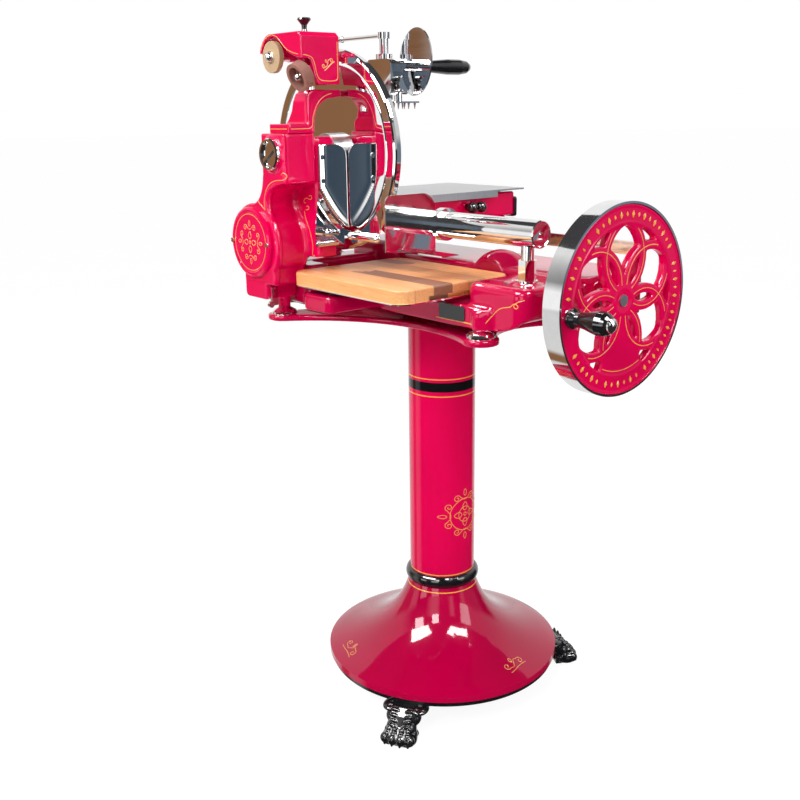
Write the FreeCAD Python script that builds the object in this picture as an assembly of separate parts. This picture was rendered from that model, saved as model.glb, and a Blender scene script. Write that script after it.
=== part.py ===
import FreeCAD, Part
import math
import os

# Hand crank meat slicer on a pedestal, in millimetres.
# Origin: the column's axis at the floor. +Z up, +X towards the flywheel and along the carriage's
# stroke, -Y towards the side where the slices fall.

V = FreeCAD.Vector
AXES = {"x": V(1, 0, 0), "y": V(0, 1, 0), "z": V(0, 0, 1)}

# ---------------------------------------------------------------- driving dimensions
FLAT_GAP = 0.3              # air between two bodies that slide or turn past each other
RUN_GAP = 0.05              # radial clearance of a shaft in its bearing
SINK = 1.0                  # how far fused features of one casting reach into each other

# pedestal
BASE_RADIUS = 240.0
BASE_BOTTOM_Z = 70.0
BASE_RIM_HEIGHT = 13.0
BELL_WALL = 8.0
UNDER_RING_HEIGHT = 11.0
UNDER_RING_INSET = 5.0
UNDER_RING_WIDTH = 46.0
NECK_RADIUS = 70.0
NECK_TOP_Z = 226.6
COLUMN_RADIUS = 66.6
COLUMN_WALL = 5.0
BEAD_HEIGHT = 25.0
BEAD_PROUD = 9.2
PAW_ANGLES = (-60.0, 60.0, 180.0)
PAW_ANKLE_R = 228.0
PAW_TIP_R = 304.0
PAW_WIDTH = 66.0
TIE_ROD_RADIUS = 8.0

# table plate on top of the column
PLATE_THICK = 12.0
PLATE_TOP_Z = 794.0
FOOT_LEFT = (-182.0, 245.0)     # X and half spread in Y of the two left feet
FOOT_RIGHT = (240.0, 130.0)
LOBE_RADIUS = 32.0
SIDE_HOLLOW = 300.0             # radius of the long concave edges
END_HOLLOW = 420.0              # radius of the left concave edge
RIGHT_HOLLOW = 120.0            # radius of the right concave edge
FOOT_RADIUS = 25.0
FOOT_HEIGHT = 12.0
LEG_RADIUS = 12.0

# machine base
SLAB_X = (-100.0, 270.0)
SLAB_Y = (-140.0, 190.0)
SLAB_BOTTOM_Z = 808.0
SLAB_TOP_Z = 846.0
BASE_WALL = 7.0
NOSE_X = (-100.0, -12.0)
NOSE_Y = -262.0
NOSE_BOTTOM_Z = 816.0
BACK_BLOCK_Y = 14.0
BACK_BLOCK_TOP_Z = 888.0
END_BLOCK_X = (196.0, 338.0)
END_BLOCK_Y = (-128.0, 150.0)
END_BLOCK_TOP_Z = 885.0
BELLY_X = (266.0, 345.0)         # where the end block's underside starts and stops rising
BELLY_TOP_Z = 862.0
PANEL_X = (146.0, 211.0)
PANEL_Z = (818.0, 844.0)

# flywheel and drive line
SHAFT_Y = 51.0
SHAFT_Z = 855.0
SHAFT_RADIUS = 10.0
WHEEL_FRONT_X = 399.0
WHEEL_RADIUS = 165.0
RIM_WIDTH = 36.0
RIM_THICK = 4.0
WEB_THICK = 15.0
WEB_SET_BACK = 2.0
RING_INNER_R = 127.0
PETAL_COUNT = 6
PETAL_START_R = 15.0
PETAL_TIP_R = 97.0
PETAL_SAGITTA = 15.0
BAND_WIDTH = 17.0
HUB_RADIUS = 24.0
HANDLE_R = 137.0
HANDLE_ANGLE = 184.5            # seen from the handle side, counted from +Y towards +Z
HANDLE_LENGTH = 80.0
CROSS_X = -212.0
IDLER_X = -201.0
GEAR_MODULE = 2.5
CROSS_GEAR_TEETH = 16
IDLER_GEAR_TEETH = 47
LOW_SPROCKET_R = 30.0
TOP_SPROCKET_R = 14.0

# gear housing
CASE_FRONT_Y = -295.0
CASE_BACK_Y = -226.0
PILLAR_BACK_Y = -184.0
FLANGE_THICK = 12.0
FLANGE_PROUD = 5.0            # how far the front flange stands out past the neck's side
CASE_LOBE_R = 72.0
CASE_WALL = 6.0
PILLAR_X = (-163.0, -86.0)
PILLAR_BOTTOM_Z = 1044.0
PILLAR_TOP_Z = 1131.0
CASE_BOTTOM_Z = 856.0
BACK_SHELL_Z = (907.0, 1124.0)
COVER_RADIUS = 65.7
COVER_THICK = 9.0
SUMP_X = (-241.0, -165.0)
SUMP_BOTTOM_Z = 826.0

# blade
BLADE_X = -124.0
BLADE_Z = 1095.0
BLADE_RADIUS = 158.0
BLADE_FRONT_Y = -158.0
BLADE_THICK = 4.0
BLADE_SHAFT_R = 9.0
GUARD_RADIUS = 182.0
GUARD_INNER_R = 161.0
GUARD_FRONT_Y = -162.0
GUARD_DEPTH = 14.0
CAP_RADIUS = 28.5

# cutting board and tray
BOARD_X = (-131.0, 183.0)
BOARD_Y = (-261.0, 3.0)
BOARD_BOTTOM_Z = 858.0
BOARD_THICK = 24.0
TRAY_THICK = 2.0

# carriage, table and guides
TUBE_Y = -75.0
TUBE_Z = 970.0
TUBE_RADIUS = 23.0
TUBE_X = (-262.0, 318.0)
POST_X = 293.0
RAIL_Y = 172.0
RAIL_Z = 925.0
TABLE_X = (-235.0, -5.0)
TABLE_Y = (-142.0, 235.0)
TABLE_Z = 1010.0
TABLE_THICK = 3.0
FEED_BOX_X = (-150.0, -20.0)
FEED_BOX_Y = (-28.0, 218.0)
FEED_BOX_Z = (958.0, 1006.0)

# meat press
PRESS_POST_X = -150.0
PRESS_POST_Y = -12.0
PRESS_POST_R = 9.0
PRESS_POST_TOP_Z = 1308.0

# sharpener
HEAD_PIVOT = (-112.0, -224.0)
HOOD_X = (-190.0, -60.0)
HOOD_Y = (-270.0, -188.0)
HOOD_BOTTOM_Z = 1213.0
HOOD_TOP_Z = 1300.0
ARM_X = (-150.0, -86.0)
ARM_TOP_Z = 1205.0
FLAT_STONE = (-149.0, 1261.0)
CUP_STONE = (-73.0, 1223.0)
STONE_RADIUS = 27.0
CUP_RADIUS = 25.0
CUP_TILT = 26.0                 # degrees that the cup stone's open side leans down

# ---------------------------------------------------------------- worked out from the values above
# pedestal
RING_BOTTOM_Z = BASE_BOTTOM_Z - UNDER_RING_HEIGHT
UNDER_RING_OUTER_R = BASE_RADIUS - UNDER_RING_INSET
UNDER_RING_INNER_R = UNDER_RING_OUTER_R - UNDER_RING_WIDTH
PAW_BOLT_RADIAL = UNDER_RING_INNER_R + 20.0
PAW_BOLT_R = 5.0
COLUMN_BORE = COLUMN_RADIUS - COLUMN_WALL
SPIGOT_RADIUS = COLUMN_BORE - 0.2
SPIGOT_LENGTH = 60.0
WEB_HEIGHT = 12.0
PLATE_BOTTOM_Z = PLATE_TOP_Z - PLATE_THICK
TIE_HEAD_HEIGHT = 10.0
TIE_HEAD_RADIUS = 14.0
PLATE_COVER = 4.0
# machine base
LEG_BOTTOM_Z = PLATE_TOP_Z + FOOT_HEIGHT
RAIL_BLOCK_X = (-256.0, -192.0)
ARM_BLOCK_X = (-252.0, -138.0)
ARM_BLOCK_TOP_Z = 886.0
GEARBOX_X = (-276.0, -150.0)
GEARBOX_Y = (SHAFT_Y - 60.0, SHAFT_Y + 56.0)
GEARBOX_TOP_Z = 912.0
BEVEL_BIG_TEETH = 36
BEVEL_SMALL_TEETH = 18
BEVEL_PITCH = 2.5
DOME_X = 110.0
DOME_RADIUS = 60.0
END_WALL_X = (END_BLOCK_X[1] - 12.0, END_BLOCK_X[1] + 14.0)
BOSS_TOP_Z = 889.0
TUBE_BRACKET_X = (TUBE_X[0], TUBE_X[0] + 18.0)
RAIL_SECTION = (14.0, 24.0)
RAIL_X = (-262.0, 330.0)
RAIL_POST_X = (-250.0, 312.0)
SHAFT_BORE_R = SHAFT_RADIUS + RUN_GAP
CROSS_SHAFT_R = 8.0
CROSS_BORE_R = CROSS_SHAFT_R + RUN_GAP
# gear housing and what it holds
GEAR_SPACING = GEAR_MODULE * (CROSS_GEAR_TEETH + IDLER_GEAR_TEETH) / 2
IDLER_CENTRE = (IDLER_X, SHAFT_Z + math.sqrt(GEAR_SPACING ** 2 - (IDLER_X - CROSS_X) ** 2))
CROSS_CENTRE = (CROSS_X, SHAFT_Z)
BLADE_CENTRE = (BLADE_X, BLADE_Z)
GEAR_Y = (-262.0, -250.0)
CHAIN_Y = (-214.0, -206.0)
CHAIN_THICK = 7.0
GEAR_ROOM_Y = (CASE_FRONT_Y + CASE_WALL, CASE_BACK_Y - 8.0)
CHAIN_ROOM_Y = (CASE_BACK_Y + 4.0, PILLAR_BACK_Y - 8.0)
CHAIN_AIR = 3.0
COVER_OPENING_R = 52.0
COVER_SCREW_R = 59.0
IDLER_PIN_R = 9.0
IDLER_HUB_R = 16.0
BEARING_NOSE_Y = -180.0
BLADE_SHAFT_START_Y = CASE_FRONT_Y + 14.0
# blade, guard and slice plates
BLADE_BACK_Y = BLADE_FRONT_Y + BLADE_THICK
SHEET = 2.0
DEFLECTOR_X = PILLAR_X[1] + 1.0
DEFLECTOR_Y = (CASE_BACK_Y + 1.0, BLADE_FRONT_Y - 2.0)
DEFLECTOR_Z = (958.0, 1110.0)
DEFLECTOR_RISE = 76.0           # how far its lower edge climbs from the blade to the pillar's front
LOWER_PLATE_X = (DEFLECTOR_X, 34.0)
LOWER_PLATE_Y = -172.0
LOWER_PLATE_Z = (944.0, 1004.0)
WING_FRONT_Y = -236.0
WING_BOTTOM_Z = 928.0
ROLL_LENGTH = 46.0
SHEET_GAP = 0.8
SIDE_PLATE_X = 90.0
SIDE_PLATE_Y = (-214.0, -99.0)
SIDE_PLATE_Z = (922.0, 1028.0)
BLADE_HUB_R = 34.0
ROLL_R = 6.0
GUARD_KNOB = (-52.0, -174.0, 1258.0)
# flywheel
WHEEL_BACK_X = WHEEL_FRONT_X - RIM_WIDTH
WEB_X = (WHEEL_FRONT_X - WEB_SET_BACK - WEB_THICK, WHEEL_FRONT_X - WEB_SET_BACK)
RING_OUTER_R = WHEEL_RADIUS - RIM_THICK
PETAL_HALF = (PETAL_TIP_R - PETAL_START_R) / 2
ARC_R = (PETAL_HALF ** 2 + PETAL_SAGITTA ** 2) / (2 * PETAL_SAGITTA)
FAN_HALF_ANGLE = 27.0
# carriage, feed and meat table
SLEEVES_X = ((-146.0, -112.0), (-60.0, -26.0))
CARRIAGE_Z = (946.0, 958.0)
TABLE_SLIDE_X = (-120.0, -50.0)
SLIDE_BOTTOM_Z = FEED_BOX_Z[1] - 8.0
SLIDE_GAP = 0.1
KNOB_Y = (88.0, 112.0)
KNOB_Z = 982.0
KNOB_STEM_R = 4.0
# meat press
PRESS_BLOCK_X = (-172.0, -100.0)
PRESS_BLOCK_Y = (-38.0, 6.0)
PRESS_BLOCK_Z = (1196.0, 1262.0)
PRESS_GUARD = (-88.0, 1256.0)
HANDLE_Z = 1248.0
PRESS_PLATE_CENTRE = (-107.0, -14.0)
STAR_Y = -14.0
STAR_Z = 1216.0
# sharpener
SPINDLE_R = 8.0
FLAT_STONE_Y = (HOOD_Y[0] - 2.0, HOOD_Y[0] + 7.0)
CUP_FRONT_Y = HOOD_Y[0] - 2.0
CUP_DEPTH = 22.0
CUP_WALL = 6.0
STONE_PIN_R = 4.0
HEAD_WALL = 4.0
PLINTH_HEIGHT = 16.0


# ---------------------------------------------------------------- helpers
def box(x, y, z):
    return Part.makeBox(x[1] - x[0], y[1] - y[0], z[1] - z[0], V(x[0], y[0], z[0]))


def rod(axis, start, radius, length):
    return Part.makeCylinder(radius, length, V(*start), AXES[axis])


def tube(axis, start, outer, inner, length):
    return rod(axis, start, outer, length).cut(rod(axis, start, inner, length))


def cone(axis, start, r_start, r_end, length):
    return Part.makeCone(r_start, r_end, length, V(*start), AXES[axis])


def ball(centre, radius):
    return Part.makeSphere(radius, V(*centre))


def fuse(*shapes):
    whole = shapes[0]
    for shape in shapes[1:]:
        whole = whole.fuse(shape)
    return whole.removeSplitter()


def group(shapes):
    return Part.makeCompound(list(shapes))


def turned(points, axis, centre):
    """Solid of revolution of a closed outline of (radius, height) points along an axis."""
    outline = [V(r, 0, h) for r, h in points]
    solid = Part.Face(Part.makePolygon(outline + outline[:1])).revolve(V(0, 0, 0), V(0, 0, 1), 360)
    if axis == "x":
        solid.rotate(V(0, 0, 0), V(0, 1, 0), 90)
    elif axis == "y":
        solid.rotate(V(0, 0, 0), V(1, 0, 0), -90)
    solid.translate(V(*centre))
    return solid


def prism(plane, points, low, high):
    """Prism of a closed outline in plane xy, xz or yz between two heights of the third axis."""
    place = {
        "xy": lambda a, b: V(a, b, low), "xz": lambda a, b: V(a, low, b), "yz": lambda a, b: V(low, a, b)
    }
    push = {"xy": V(0, 0, high - low), "xz": V(0, high - low, 0), "yz": V(high - low, 0, 0)}
    outline = [place[plane](a, b) for a, b in points]
    return Part.Face(Part.makePolygon(outline + outline[:1])).extrude(push[plane])


def rounded(shape, radius, axis):
    """Fillet every straight edge of a block that runs along the axis."""
    direction = AXES[axis]
    edges = []
    for edge in shape.Edges:
        if isinstance(edge.Curve, Part.Line) and abs(
            edge.tangentAt(edge.FirstParameter).dot(direction)
        ) > 0.999:
            edges.append(edge)
    return shape.makeFillet(radius, edges)


def softened(shape, radius, test):
    """Fillet the edges whose bounding box centre passes a test."""
    edges = [edge for edge in shape.Edges if test(edge.BoundBox.Center, edge)]
    return shape.makeFillet(radius, edges)


def arc_points(centre, radius, start, end, steps):
    return [
        (
            centre[0] + radius * math.cos(math.radians(start + (end - start) * i / steps)),
            centre[1] + radius * math.sin(math.radians(start + (end - start) * i / steps)),
        )
        for i in range(steps + 1)
    ]


def screw(axis, start, head_r, head_h, shank_r, shank_l, sign):
    """Slotted screw: the head stands on `start` towards sign * axis, the shank goes the other way."""
    direction = AXES[axis] * sign
    base = V(*start)
    head = Part.makeCylinder(head_r, head_h, base, direction)
    shank = Part.makeCylinder(shank_r, shank_l + SINK, base + direction * SINK, direction * -1)
    slot = Part.makeBox(head_r * 3, head_r * 0.3, head_h, V(-head_r * 1.5, -head_r * 0.15, head_h * 0.6))
    slot.Placement = FreeCAD.Placement(base, FreeCAD.Rotation(V(0, 0, 1), direction))
    return head.fuse(shank).cut(slot)


def gear_outline(module, teeth, backlash, phase):
    """Involute gear outline, 20 degree pressure angle, as (a, b) points about the centre."""
    pitch_r = module * teeth / 2
    base_r = pitch_r * math.cos(math.radians(20))
    tip_r = pitch_r + module * 0.9
    root_r = pitch_r - module * 1.2
    half = (math.pi / 2 - backlash / module) / teeth

    def involute(r):
        pressure = math.acos(min(1.0, base_r / r))
        return math.tan(pressure) - pressure

    radii = [max(root_r, base_r) + (tip_r - max(root_r, base_r)) * i / 4 for i in range(5)]
    points = []
    for tooth in range(teeth):
        middle = phase + 2 * math.pi * tooth / teeth
        flank = [(r, half + involute(pitch_r) - involute(r)) for r in radii]
        flank = [(root_r, flank[0][1] + 0.002)] + flank
        for r, a in flank:
            points.append((r * math.cos(middle - a), r * math.sin(middle - a)))
        for r, a in reversed(flank):
            points.append((r * math.cos(middle + a), r * math.sin(middle + a)))
    return points


def save(name, shape):
    shape.exportStep("parts/" + name + ".step")

# ---------------------------------------------------------------- pedestal
def bell_curve(points):
    curve = Part.BSplineCurve()
    curve.interpolate([V(r, 0, z) for r, z in points])
    return curve.toShape()


def pedestal_base():
    rim_z = BASE_BOTTOM_Z + BASE_RIM_HEIGHT
    rise = NECK_TOP_Z - rim_z
    span = BASE_RADIUS - NECK_RADIUS
    shares = [
        (1.0, 0.0), (0.93, 0.035), (0.78, 0.10), (0.58, 0.20), (0.38, 0.34), (0.2, 0.53), (0.07, 0.77),
        (0.0, 1.0),
    ]
    outer = [(NECK_RADIUS + span * a, rim_z + rise * b) for a, b in shares]
    inner_span = span - 18.0
    inner_neck = NECK_RADIUS - BELL_WALL
    inner = [(inner_neck + (inner_span + BELL_WALL) * a, rim_z - BELL_WALL + rise * b) for a, b in shares]
    top_z = inner[-1][1]
    edges = [bell_curve(outer), bell_curve(inner)]
    lines = [
        (outer[0], (BASE_RADIUS, BASE_BOTTOM_Z)),
        ((BASE_RADIUS, BASE_BOTTOM_Z), (inner[0][0], BASE_BOTTOM_Z)),
        ((inner[0][0], BASE_BOTTOM_Z), inner[0]),
        (inner[-1], (SPIGOT_RADIUS - BELL_WALL, top_z)),
        ((SPIGOT_RADIUS - BELL_WALL, top_z), (SPIGOT_RADIUS - BELL_WALL, NECK_TOP_Z + SPIGOT_LENGTH)),
        (
            (SPIGOT_RADIUS - BELL_WALL, NECK_TOP_Z + SPIGOT_LENGTH),
            (SPIGOT_RADIUS, NECK_TOP_Z + SPIGOT_LENGTH),
        ),
        ((SPIGOT_RADIUS, NECK_TOP_Z + SPIGOT_LENGTH), (SPIGOT_RADIUS, NECK_TOP_Z)),
        ((SPIGOT_RADIUS, NECK_TOP_Z), outer[-1]),
    ]
    for start, end in lines:
        edges.append(Part.LineSegment(V(start[0], 0, start[1]), V(end[0], 0, end[1])).toShape())
    wire = Part.Wire(Part.__sortEdges__(edges))
    bell = Part.Face(wire).revolve(V(0, 0, 0), V(0, 0, 1), 360)
    web_z = NECK_TOP_Z + SPIGOT_LENGTH - WEB_HEIGHT
    web = tube("z", (0, 0, web_z), SPIGOT_RADIUS - BELL_WALL + SINK, TIE_ROD_RADIUS + 0.4, WEB_HEIGHT)
    return fuse(bell, web)


def under_ring():
    ring = tube("z", (0, 0, RING_BOTTOM_Z), UNDER_RING_OUTER_R, UNDER_RING_INNER_R, UNDER_RING_HEIGHT)
    for angle in PAW_ANGLES:
        hole = rod(
            "z", (PAW_BOLT_RADIAL, 0, RING_BOTTOM_Z - SINK), PAW_BOLT_R + 0.2,
            UNDER_RING_HEIGHT + 2 * SINK,
        )
        hole.rotate(V(0, 0, 0), V(0, 0, 1), angle)
        ring = ring.cut(hole)
    return ring


def lion_paw():
    pad_z = RING_BOTTOM_Z
    heel = PAW_ANKLE_R + 26.0
    leg = [
        (UNDER_RING_INNER_R + 4, pad_z), (PAW_ANKLE_R + 24, pad_z), (PAW_ANKLE_R + 38, pad_z - 12),
        (PAW_ANKLE_R + 48, pad_z - 28), (PAW_TIP_R - 12, 20), (PAW_TIP_R - 12, 0), (heel, 0),
        (heel - 12, 12), (heel - 26, 30), (PAW_BOLT_RADIAL - 12, pad_z - 12), (
            UNDER_RING_INNER_R + 4, pad_z - 8
        ),
    ]
    half = PAW_WIDTH * 0.33
    body = prism("xz", leg, -half, half)
    spread = PAW_WIDTH * 0.36
    toes = []
    for share in (-1.0, -0.34, 0.34, 1.0):
        y = spread * share
        reach = PAW_TIP_R - 13.0 - 5.0 * abs(share)
        toes.append(rod("x", (heel, y, 12), 9.5, reach - heel))
        toes.append(ball((reach, y, 11.5), 11.0))
        toes.append(ball((reach - 20, y, 17), 9.5))
    toes.append(box((heel - 6, heel + 26), (-spread - 4, spread + 4), (0, 14)))
    paw = fuse(body, *toes)
    floor = box((0, 2 * PAW_TIP_R), (-PAW_WIDTH, PAW_WIDTH), (-30, 0))
    hole = rod("z", (PAW_BOLT_RADIAL, 0, pad_z - 30), PAW_BOLT_R + 0.2, 40)
    return paw.cut(floor).cut(hole)


def paw_bolt():
    head = rod("z", (PAW_BOLT_RADIAL, 0, BASE_BOTTOM_Z), 8.0, 5.0)
    shank = rod("z", (PAW_BOLT_RADIAL, 0, RING_BOTTOM_Z - 14), PAW_BOLT_R, UNDER_RING_HEIGHT + 14 + SINK)
    return fuse(head, shank)


def around_column(make):
    pieces = []
    for angle in PAW_ANGLES:
        piece = make()
        piece.rotate(V(0, 0, 0), V(0, 0, 1), angle)
        pieces.append(piece)
    return group(pieces)


def column():
    return tube("z", (0, 0, NECK_TOP_Z), COLUMN_RADIUS, COLUMN_BORE, PLATE_BOTTOM_Z - NECK_TOP_Z)


def column_bead():
    middle = BEAD_HEIGHT / 2
    inner = COLUMN_RADIUS + 0.02
    points = [(inner, 0)] + [
        (inner + BEAD_PROUD * math.sin(math.pi * i / 12), middle - middle * math.cos(math.pi * i / 12))
        for i in range(1, 12)
    ] + [(inner, BEAD_HEIGHT)]
    return turned(points, "z", (0, 0, NECK_TOP_Z))


def tie_bolt():
    """Long bolt that pulls the top plate's spigot down on the column."""
    head_z = NECK_TOP_Z + SPIGOT_LENGTH - WEB_HEIGHT - TIE_HEAD_HEIGHT
    shank = rod("z", (0, 0, head_z), TIE_ROD_RADIUS, PLATE_TOP_Z - PLATE_COVER - head_z)
    head = prism("xy", arc_points((0, 0), TIE_HEAD_RADIUS, 0, 300, 5), head_z, head_z + TIE_HEAD_HEIGHT)
    return fuse(shank, head)


def feet_places():
    left_x, left_y = FOOT_LEFT
    right_x, right_y = FOOT_RIGHT
    return [(left_x, -left_y), (right_x, -right_y), (right_x, right_y), (left_x, left_y)]


def lobed_outline(centres, lobe_r, hollows):
    """Closed wire of convex lobes about the centres, joined by concave arcs tangent to them."""
    arcs = []
    joints = []
    for i, centre in enumerate(centres):
        a = V(centre[0], centre[1], 0)
        b = V(*centres[(i + 1) % len(centres)], 0)
        hollow = hollows[i]
        across = (b - a).normalize()
        outward = V(across.y, -across.x, 0)
        middle = (a + b) * 0.5
        pull = math.sqrt((hollow + lobe_r) ** 2 - ((b - a).Length / 2) ** 2)
        far = middle + outward * pull
        start = a + (far - a).normalize() * lobe_r
        end = b + (far - b).normalize() * lobe_r
        joints.append((start, end))
        arcs.append(Part.Arc(start, far - outward * hollow, end).toShape())
    for i, centre in enumerate(centres):
        a = V(centre[0], centre[1], 0)
        before = joints[i - 1][1]
        after = joints[i][0]
        peak = a + (a - V(0, 0, 0)).normalize() * lobe_r
        arcs.append(Part.Arc(before, peak, after).toShape())
    return Part.Wire(Part.__sortEdges__(arcs))


def top_plate():
    wire = lobed_outline(feet_places(), LOBE_RADIUS, [SIDE_HOLLOW, RIGHT_HOLLOW, SIDE_HOLLOW, END_HOLLOW])
    slab = Part.Face(wire).extrude(V(0, 0, PLATE_THICK))
    slab.translate(V(0, 0, PLATE_BOTTOM_Z))
    spigot = tube("z", (0, 0, PLATE_BOTTOM_Z - 30), SPIGOT_RADIUS, TIE_ROD_RADIUS, 30 + SINK)
    bore = rod("z", (0, 0, PLATE_BOTTOM_Z - SINK), TIE_ROD_RADIUS, PLATE_THICK - PLATE_COVER + SINK)
    return fuse(slab, spigot).cut(bore)


def machine_feet():
    feet = []
    for x, y in feet_places():
        points = [
            (0, 0), (FOOT_RADIUS, 0), (FOOT_RADIUS, 3.5), (FOOT_RADIUS * 0.86, 7),
            (FOOT_RADIUS * 0.62, 10),
        ]
        points += [(LEG_RADIUS, FOOT_HEIGHT), (0, FOOT_HEIGHT)]
        foot = turned(points, "z", (x, y, PLATE_TOP_Z))
        stud = rod("z", (x, y, PLATE_TOP_Z + FOOT_HEIGHT - SINK), 5.0, 12 + SINK)
        feet.append(fuse(foot, stud))
    return group(feet)


# ---------------------------------------------------------------- machine base
def block(x, y, z, corner, top):
    """Cast block with rounded upright corners and a rounded top edge."""
    body = rounded(box(x, y, z), corner, "z")
    return softened(body, top, lambda c, e: abs(c.z - z[1]) < 0.01)


def machine_base():
    slab = block(SLAB_X, SLAB_Y, (SLAB_BOTTOM_Z, SLAB_TOP_Z), 24, 2)
    nose = block(NOSE_X, (NOSE_Y, SLAB_Y[0] + 40), (NOSE_BOTTOM_Z, SLAB_TOP_Z), 16, 2)
    back = block(
        (RAIL_BLOCK_X[0], END_BLOCK_X[1]), (BACK_BLOCK_Y, SLAB_Y[1]), (SLAB_BOTTOM_Z, BACK_BLOCK_TOP_Z),
        20, 9,
    )
    end = block(END_BLOCK_X, END_BLOCK_Y, (SLAB_BOTTOM_Z, END_BLOCK_TOP_Z), 26, 12)
    belly = [
        (BELLY_X[0] + (BELLY_X[1] - BELLY_X[0]) * math.sin(math.pi * i / 16),
         SLAB_BOTTOM_Z + (BELLY_TOP_Z - SLAB_BOTTOM_Z) * (1 - math.cos(math.pi * i / 16)))
        for i in range(9)
    ]
    below = [(BELLY_X[1], SLAB_BOTTOM_Z - SINK), (BELLY_X[0], SLAB_BOTTOM_Z - SINK)]
    end = end.cut(prism("xz", belly + below, END_BLOCK_Y[0] - SINK, SHAFT_Y - 52))
    side = block(
        RAIL_BLOCK_X, (CASE_BACK_Y + FLAT_GAP, SLAB_Y[1] - 20), (SLAB_BOTTOM_Z, BACK_BLOCK_TOP_Z), 8, 6
    )
    mount = block(ARM_BLOCK_X, (CASE_BACK_Y, CASE_BACK_Y + 60), (SLAB_BOTTOM_Z + 6, ARM_BLOCK_TOP_Z), 6, 4)
    floor = block(
        (RAIL_BLOCK_X[0], SLAB_X[0] + 40), (CASE_BACK_Y + 10, SLAB_Y[1] - 20),
        (SLAB_BOTTOM_Z, SLAB_TOP_Z), 12, 2,
    )
    gearbox = block(GEARBOX_X, GEARBOX_Y, (SLAB_BOTTOM_Z, GEARBOX_TOP_Z), 16, 12)
    dome = ball((DOME_X, SHAFT_Y, SHAFT_Z), DOME_RADIUS)
    dome = dome.common(box((0, 300), (BACK_BLOCK_Y, 200), (SHAFT_Z, 960)))
    boss = cone("z", (POST_X, TUBE_Y, END_BLOCK_TOP_Z - 20), 30, 21, BOSS_TOP_Z - END_BLOCK_TOP_Z + 20)
    nose_ring = cone(
        "x", (END_BLOCK_X[1] - SINK, SHAFT_Y, SHAFT_Z), 38, 30, END_WALL_X[1] - END_BLOCK_X[1] + SINK
    )
    ears = [
        block(
            (FOOT_LEFT[0] - 22, FOOT_LEFT[0] + 22), (SLAB_Y[1] - 30, FOOT_LEFT[1] + 22),
            (LEG_BOTTOM_Z, SLAB_TOP_Z), 18, 3,
        ),
    ]
    pads = [
        rod("z", (FOOT_RIGHT[0], -FOOT_RIGHT[1], LEG_BOTTOM_Z), 16, SLAB_TOP_Z - 6 - LEG_BOTTOM_Z),
        rod("z", (FOOT_RIGHT[0], FOOT_RIGHT[1], LEG_BOTTOM_Z), 16, END_BLOCK_TOP_Z - 10 - LEG_BOTTOM_Z),
    ]
    bracket = box(
        TUBE_BRACKET_X, (TUBE_Y - 20, TUBE_Y + 20), (BACK_BLOCK_TOP_Z - 8, TUBE_Z - TUBE_RADIUS + 3)
    )
    bracket = rounded(bracket, 5, "z")
    rail_posts = [
        box((x, x + 18), (RAIL_Y - 9, RAIL_Y + 9), (BACK_BLOCK_TOP_Z - SINK, RAIL_Z - RAIL_SECTION[1] / 2))
        for x in RAIL_POST_X
    ]
    solid = fuse(
        slab, nose, back, end, side, mount, floor, gearbox, dome, boss, nose_ring, bracket, *ears,
        *rail_posts,
    )
    w = BASE_WALL
    roof = SLAB_TOP_Z - w
    low = SLAB_BOTTOM_Z - SINK
    hollows = [
        box((SLAB_X[0] + w, SLAB_X[1] - w), (SLAB_Y[0] + w, BACK_BLOCK_Y), (low, roof)),
        box((NOSE_X[0] + w, NOSE_X[1] - w), (NOSE_Y + w, SLAB_Y[0] + w + SINK), (low, roof)),
        box(
            (GEARBOX_X[1] + 4, END_BLOCK_X[0]), (BACK_BLOCK_Y + w, SLAB_Y[1] - w),
            (low, BACK_BLOCK_TOP_Z - w),
        ),
        box(
            (END_BLOCK_X[0] + 12, END_WALL_X[0]), (END_BLOCK_Y[0] + w, SLAB_Y[1] - w - 8),
            (low, END_BLOCK_TOP_Z - w - 6),
        ),
        box((RAIL_BLOCK_X[0] + w, SLAB_X[0] + 34), (CASE_BACK_Y + 70, GEARBOX_Y[0] - w), (low, roof - 12)),
        box(
            (GEARBOX_X[0] + w, GEARBOX_X[1] - 12), (GEARBOX_Y[0] + w, GEARBOX_Y[1] - w),
            (low, GEARBOX_TOP_Z - w),
        ),
        box(
            (RAIL_BLOCK_X[0] + w, GEARBOX_X[1] + 4 + SINK), (GEARBOX_Y[1] + w, SLAB_Y[1] - w),
            (low, BACK_BLOCK_TOP_Z - w),
        ),
    ]
    for hollow in hollows:
        solid = solid.cut(hollow)
    solid = fuse(solid, *pads)
    bores = [
        rod("x", (GEARBOX_X[0] + w + SINK, SHAFT_Y, SHAFT_Z), SHAFT_BORE_R, 700),
        rod(
            "y", (CROSS_X, CASE_BACK_Y - SINK, SHAFT_Z), CROSS_BORE_R,
            GEARBOX_Y[0] + w - CASE_BACK_Y + 2 * SINK,
        ),
        rod("x", (TUBE_BRACKET_X[0] - SINK, TUBE_Y, TUBE_Z), TUBE_RADIUS, 20 + SINK),
        rod("z", (POST_X, TUBE_Y, BOSS_TOP_Z - 14), 7.0, 20),
        box(PANEL_X, (SLAB_Y[0] - SINK, SLAB_Y[0] + 2), PANEL_Z),
    ]
    bores += [rod("z", (x, y, LEG_BOTTOM_Z - SINK), 5.2, 13 + SINK) for x, y in feet_places()[1:]]
    for bore in bores:
        solid = solid.cut(bore)
    return solid.removeSplitter()


def front_panel():
    panel = box(
        (PANEL_X[0] + 0.2, PANEL_X[1] - 0.2), (SLAB_Y[0] - 1, SLAB_Y[0] + 2),
        (PANEL_Z[0] + 0.2, PANEL_Z[1] - 0.2),
    )
    return rounded(panel, 4, "y")


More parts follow.
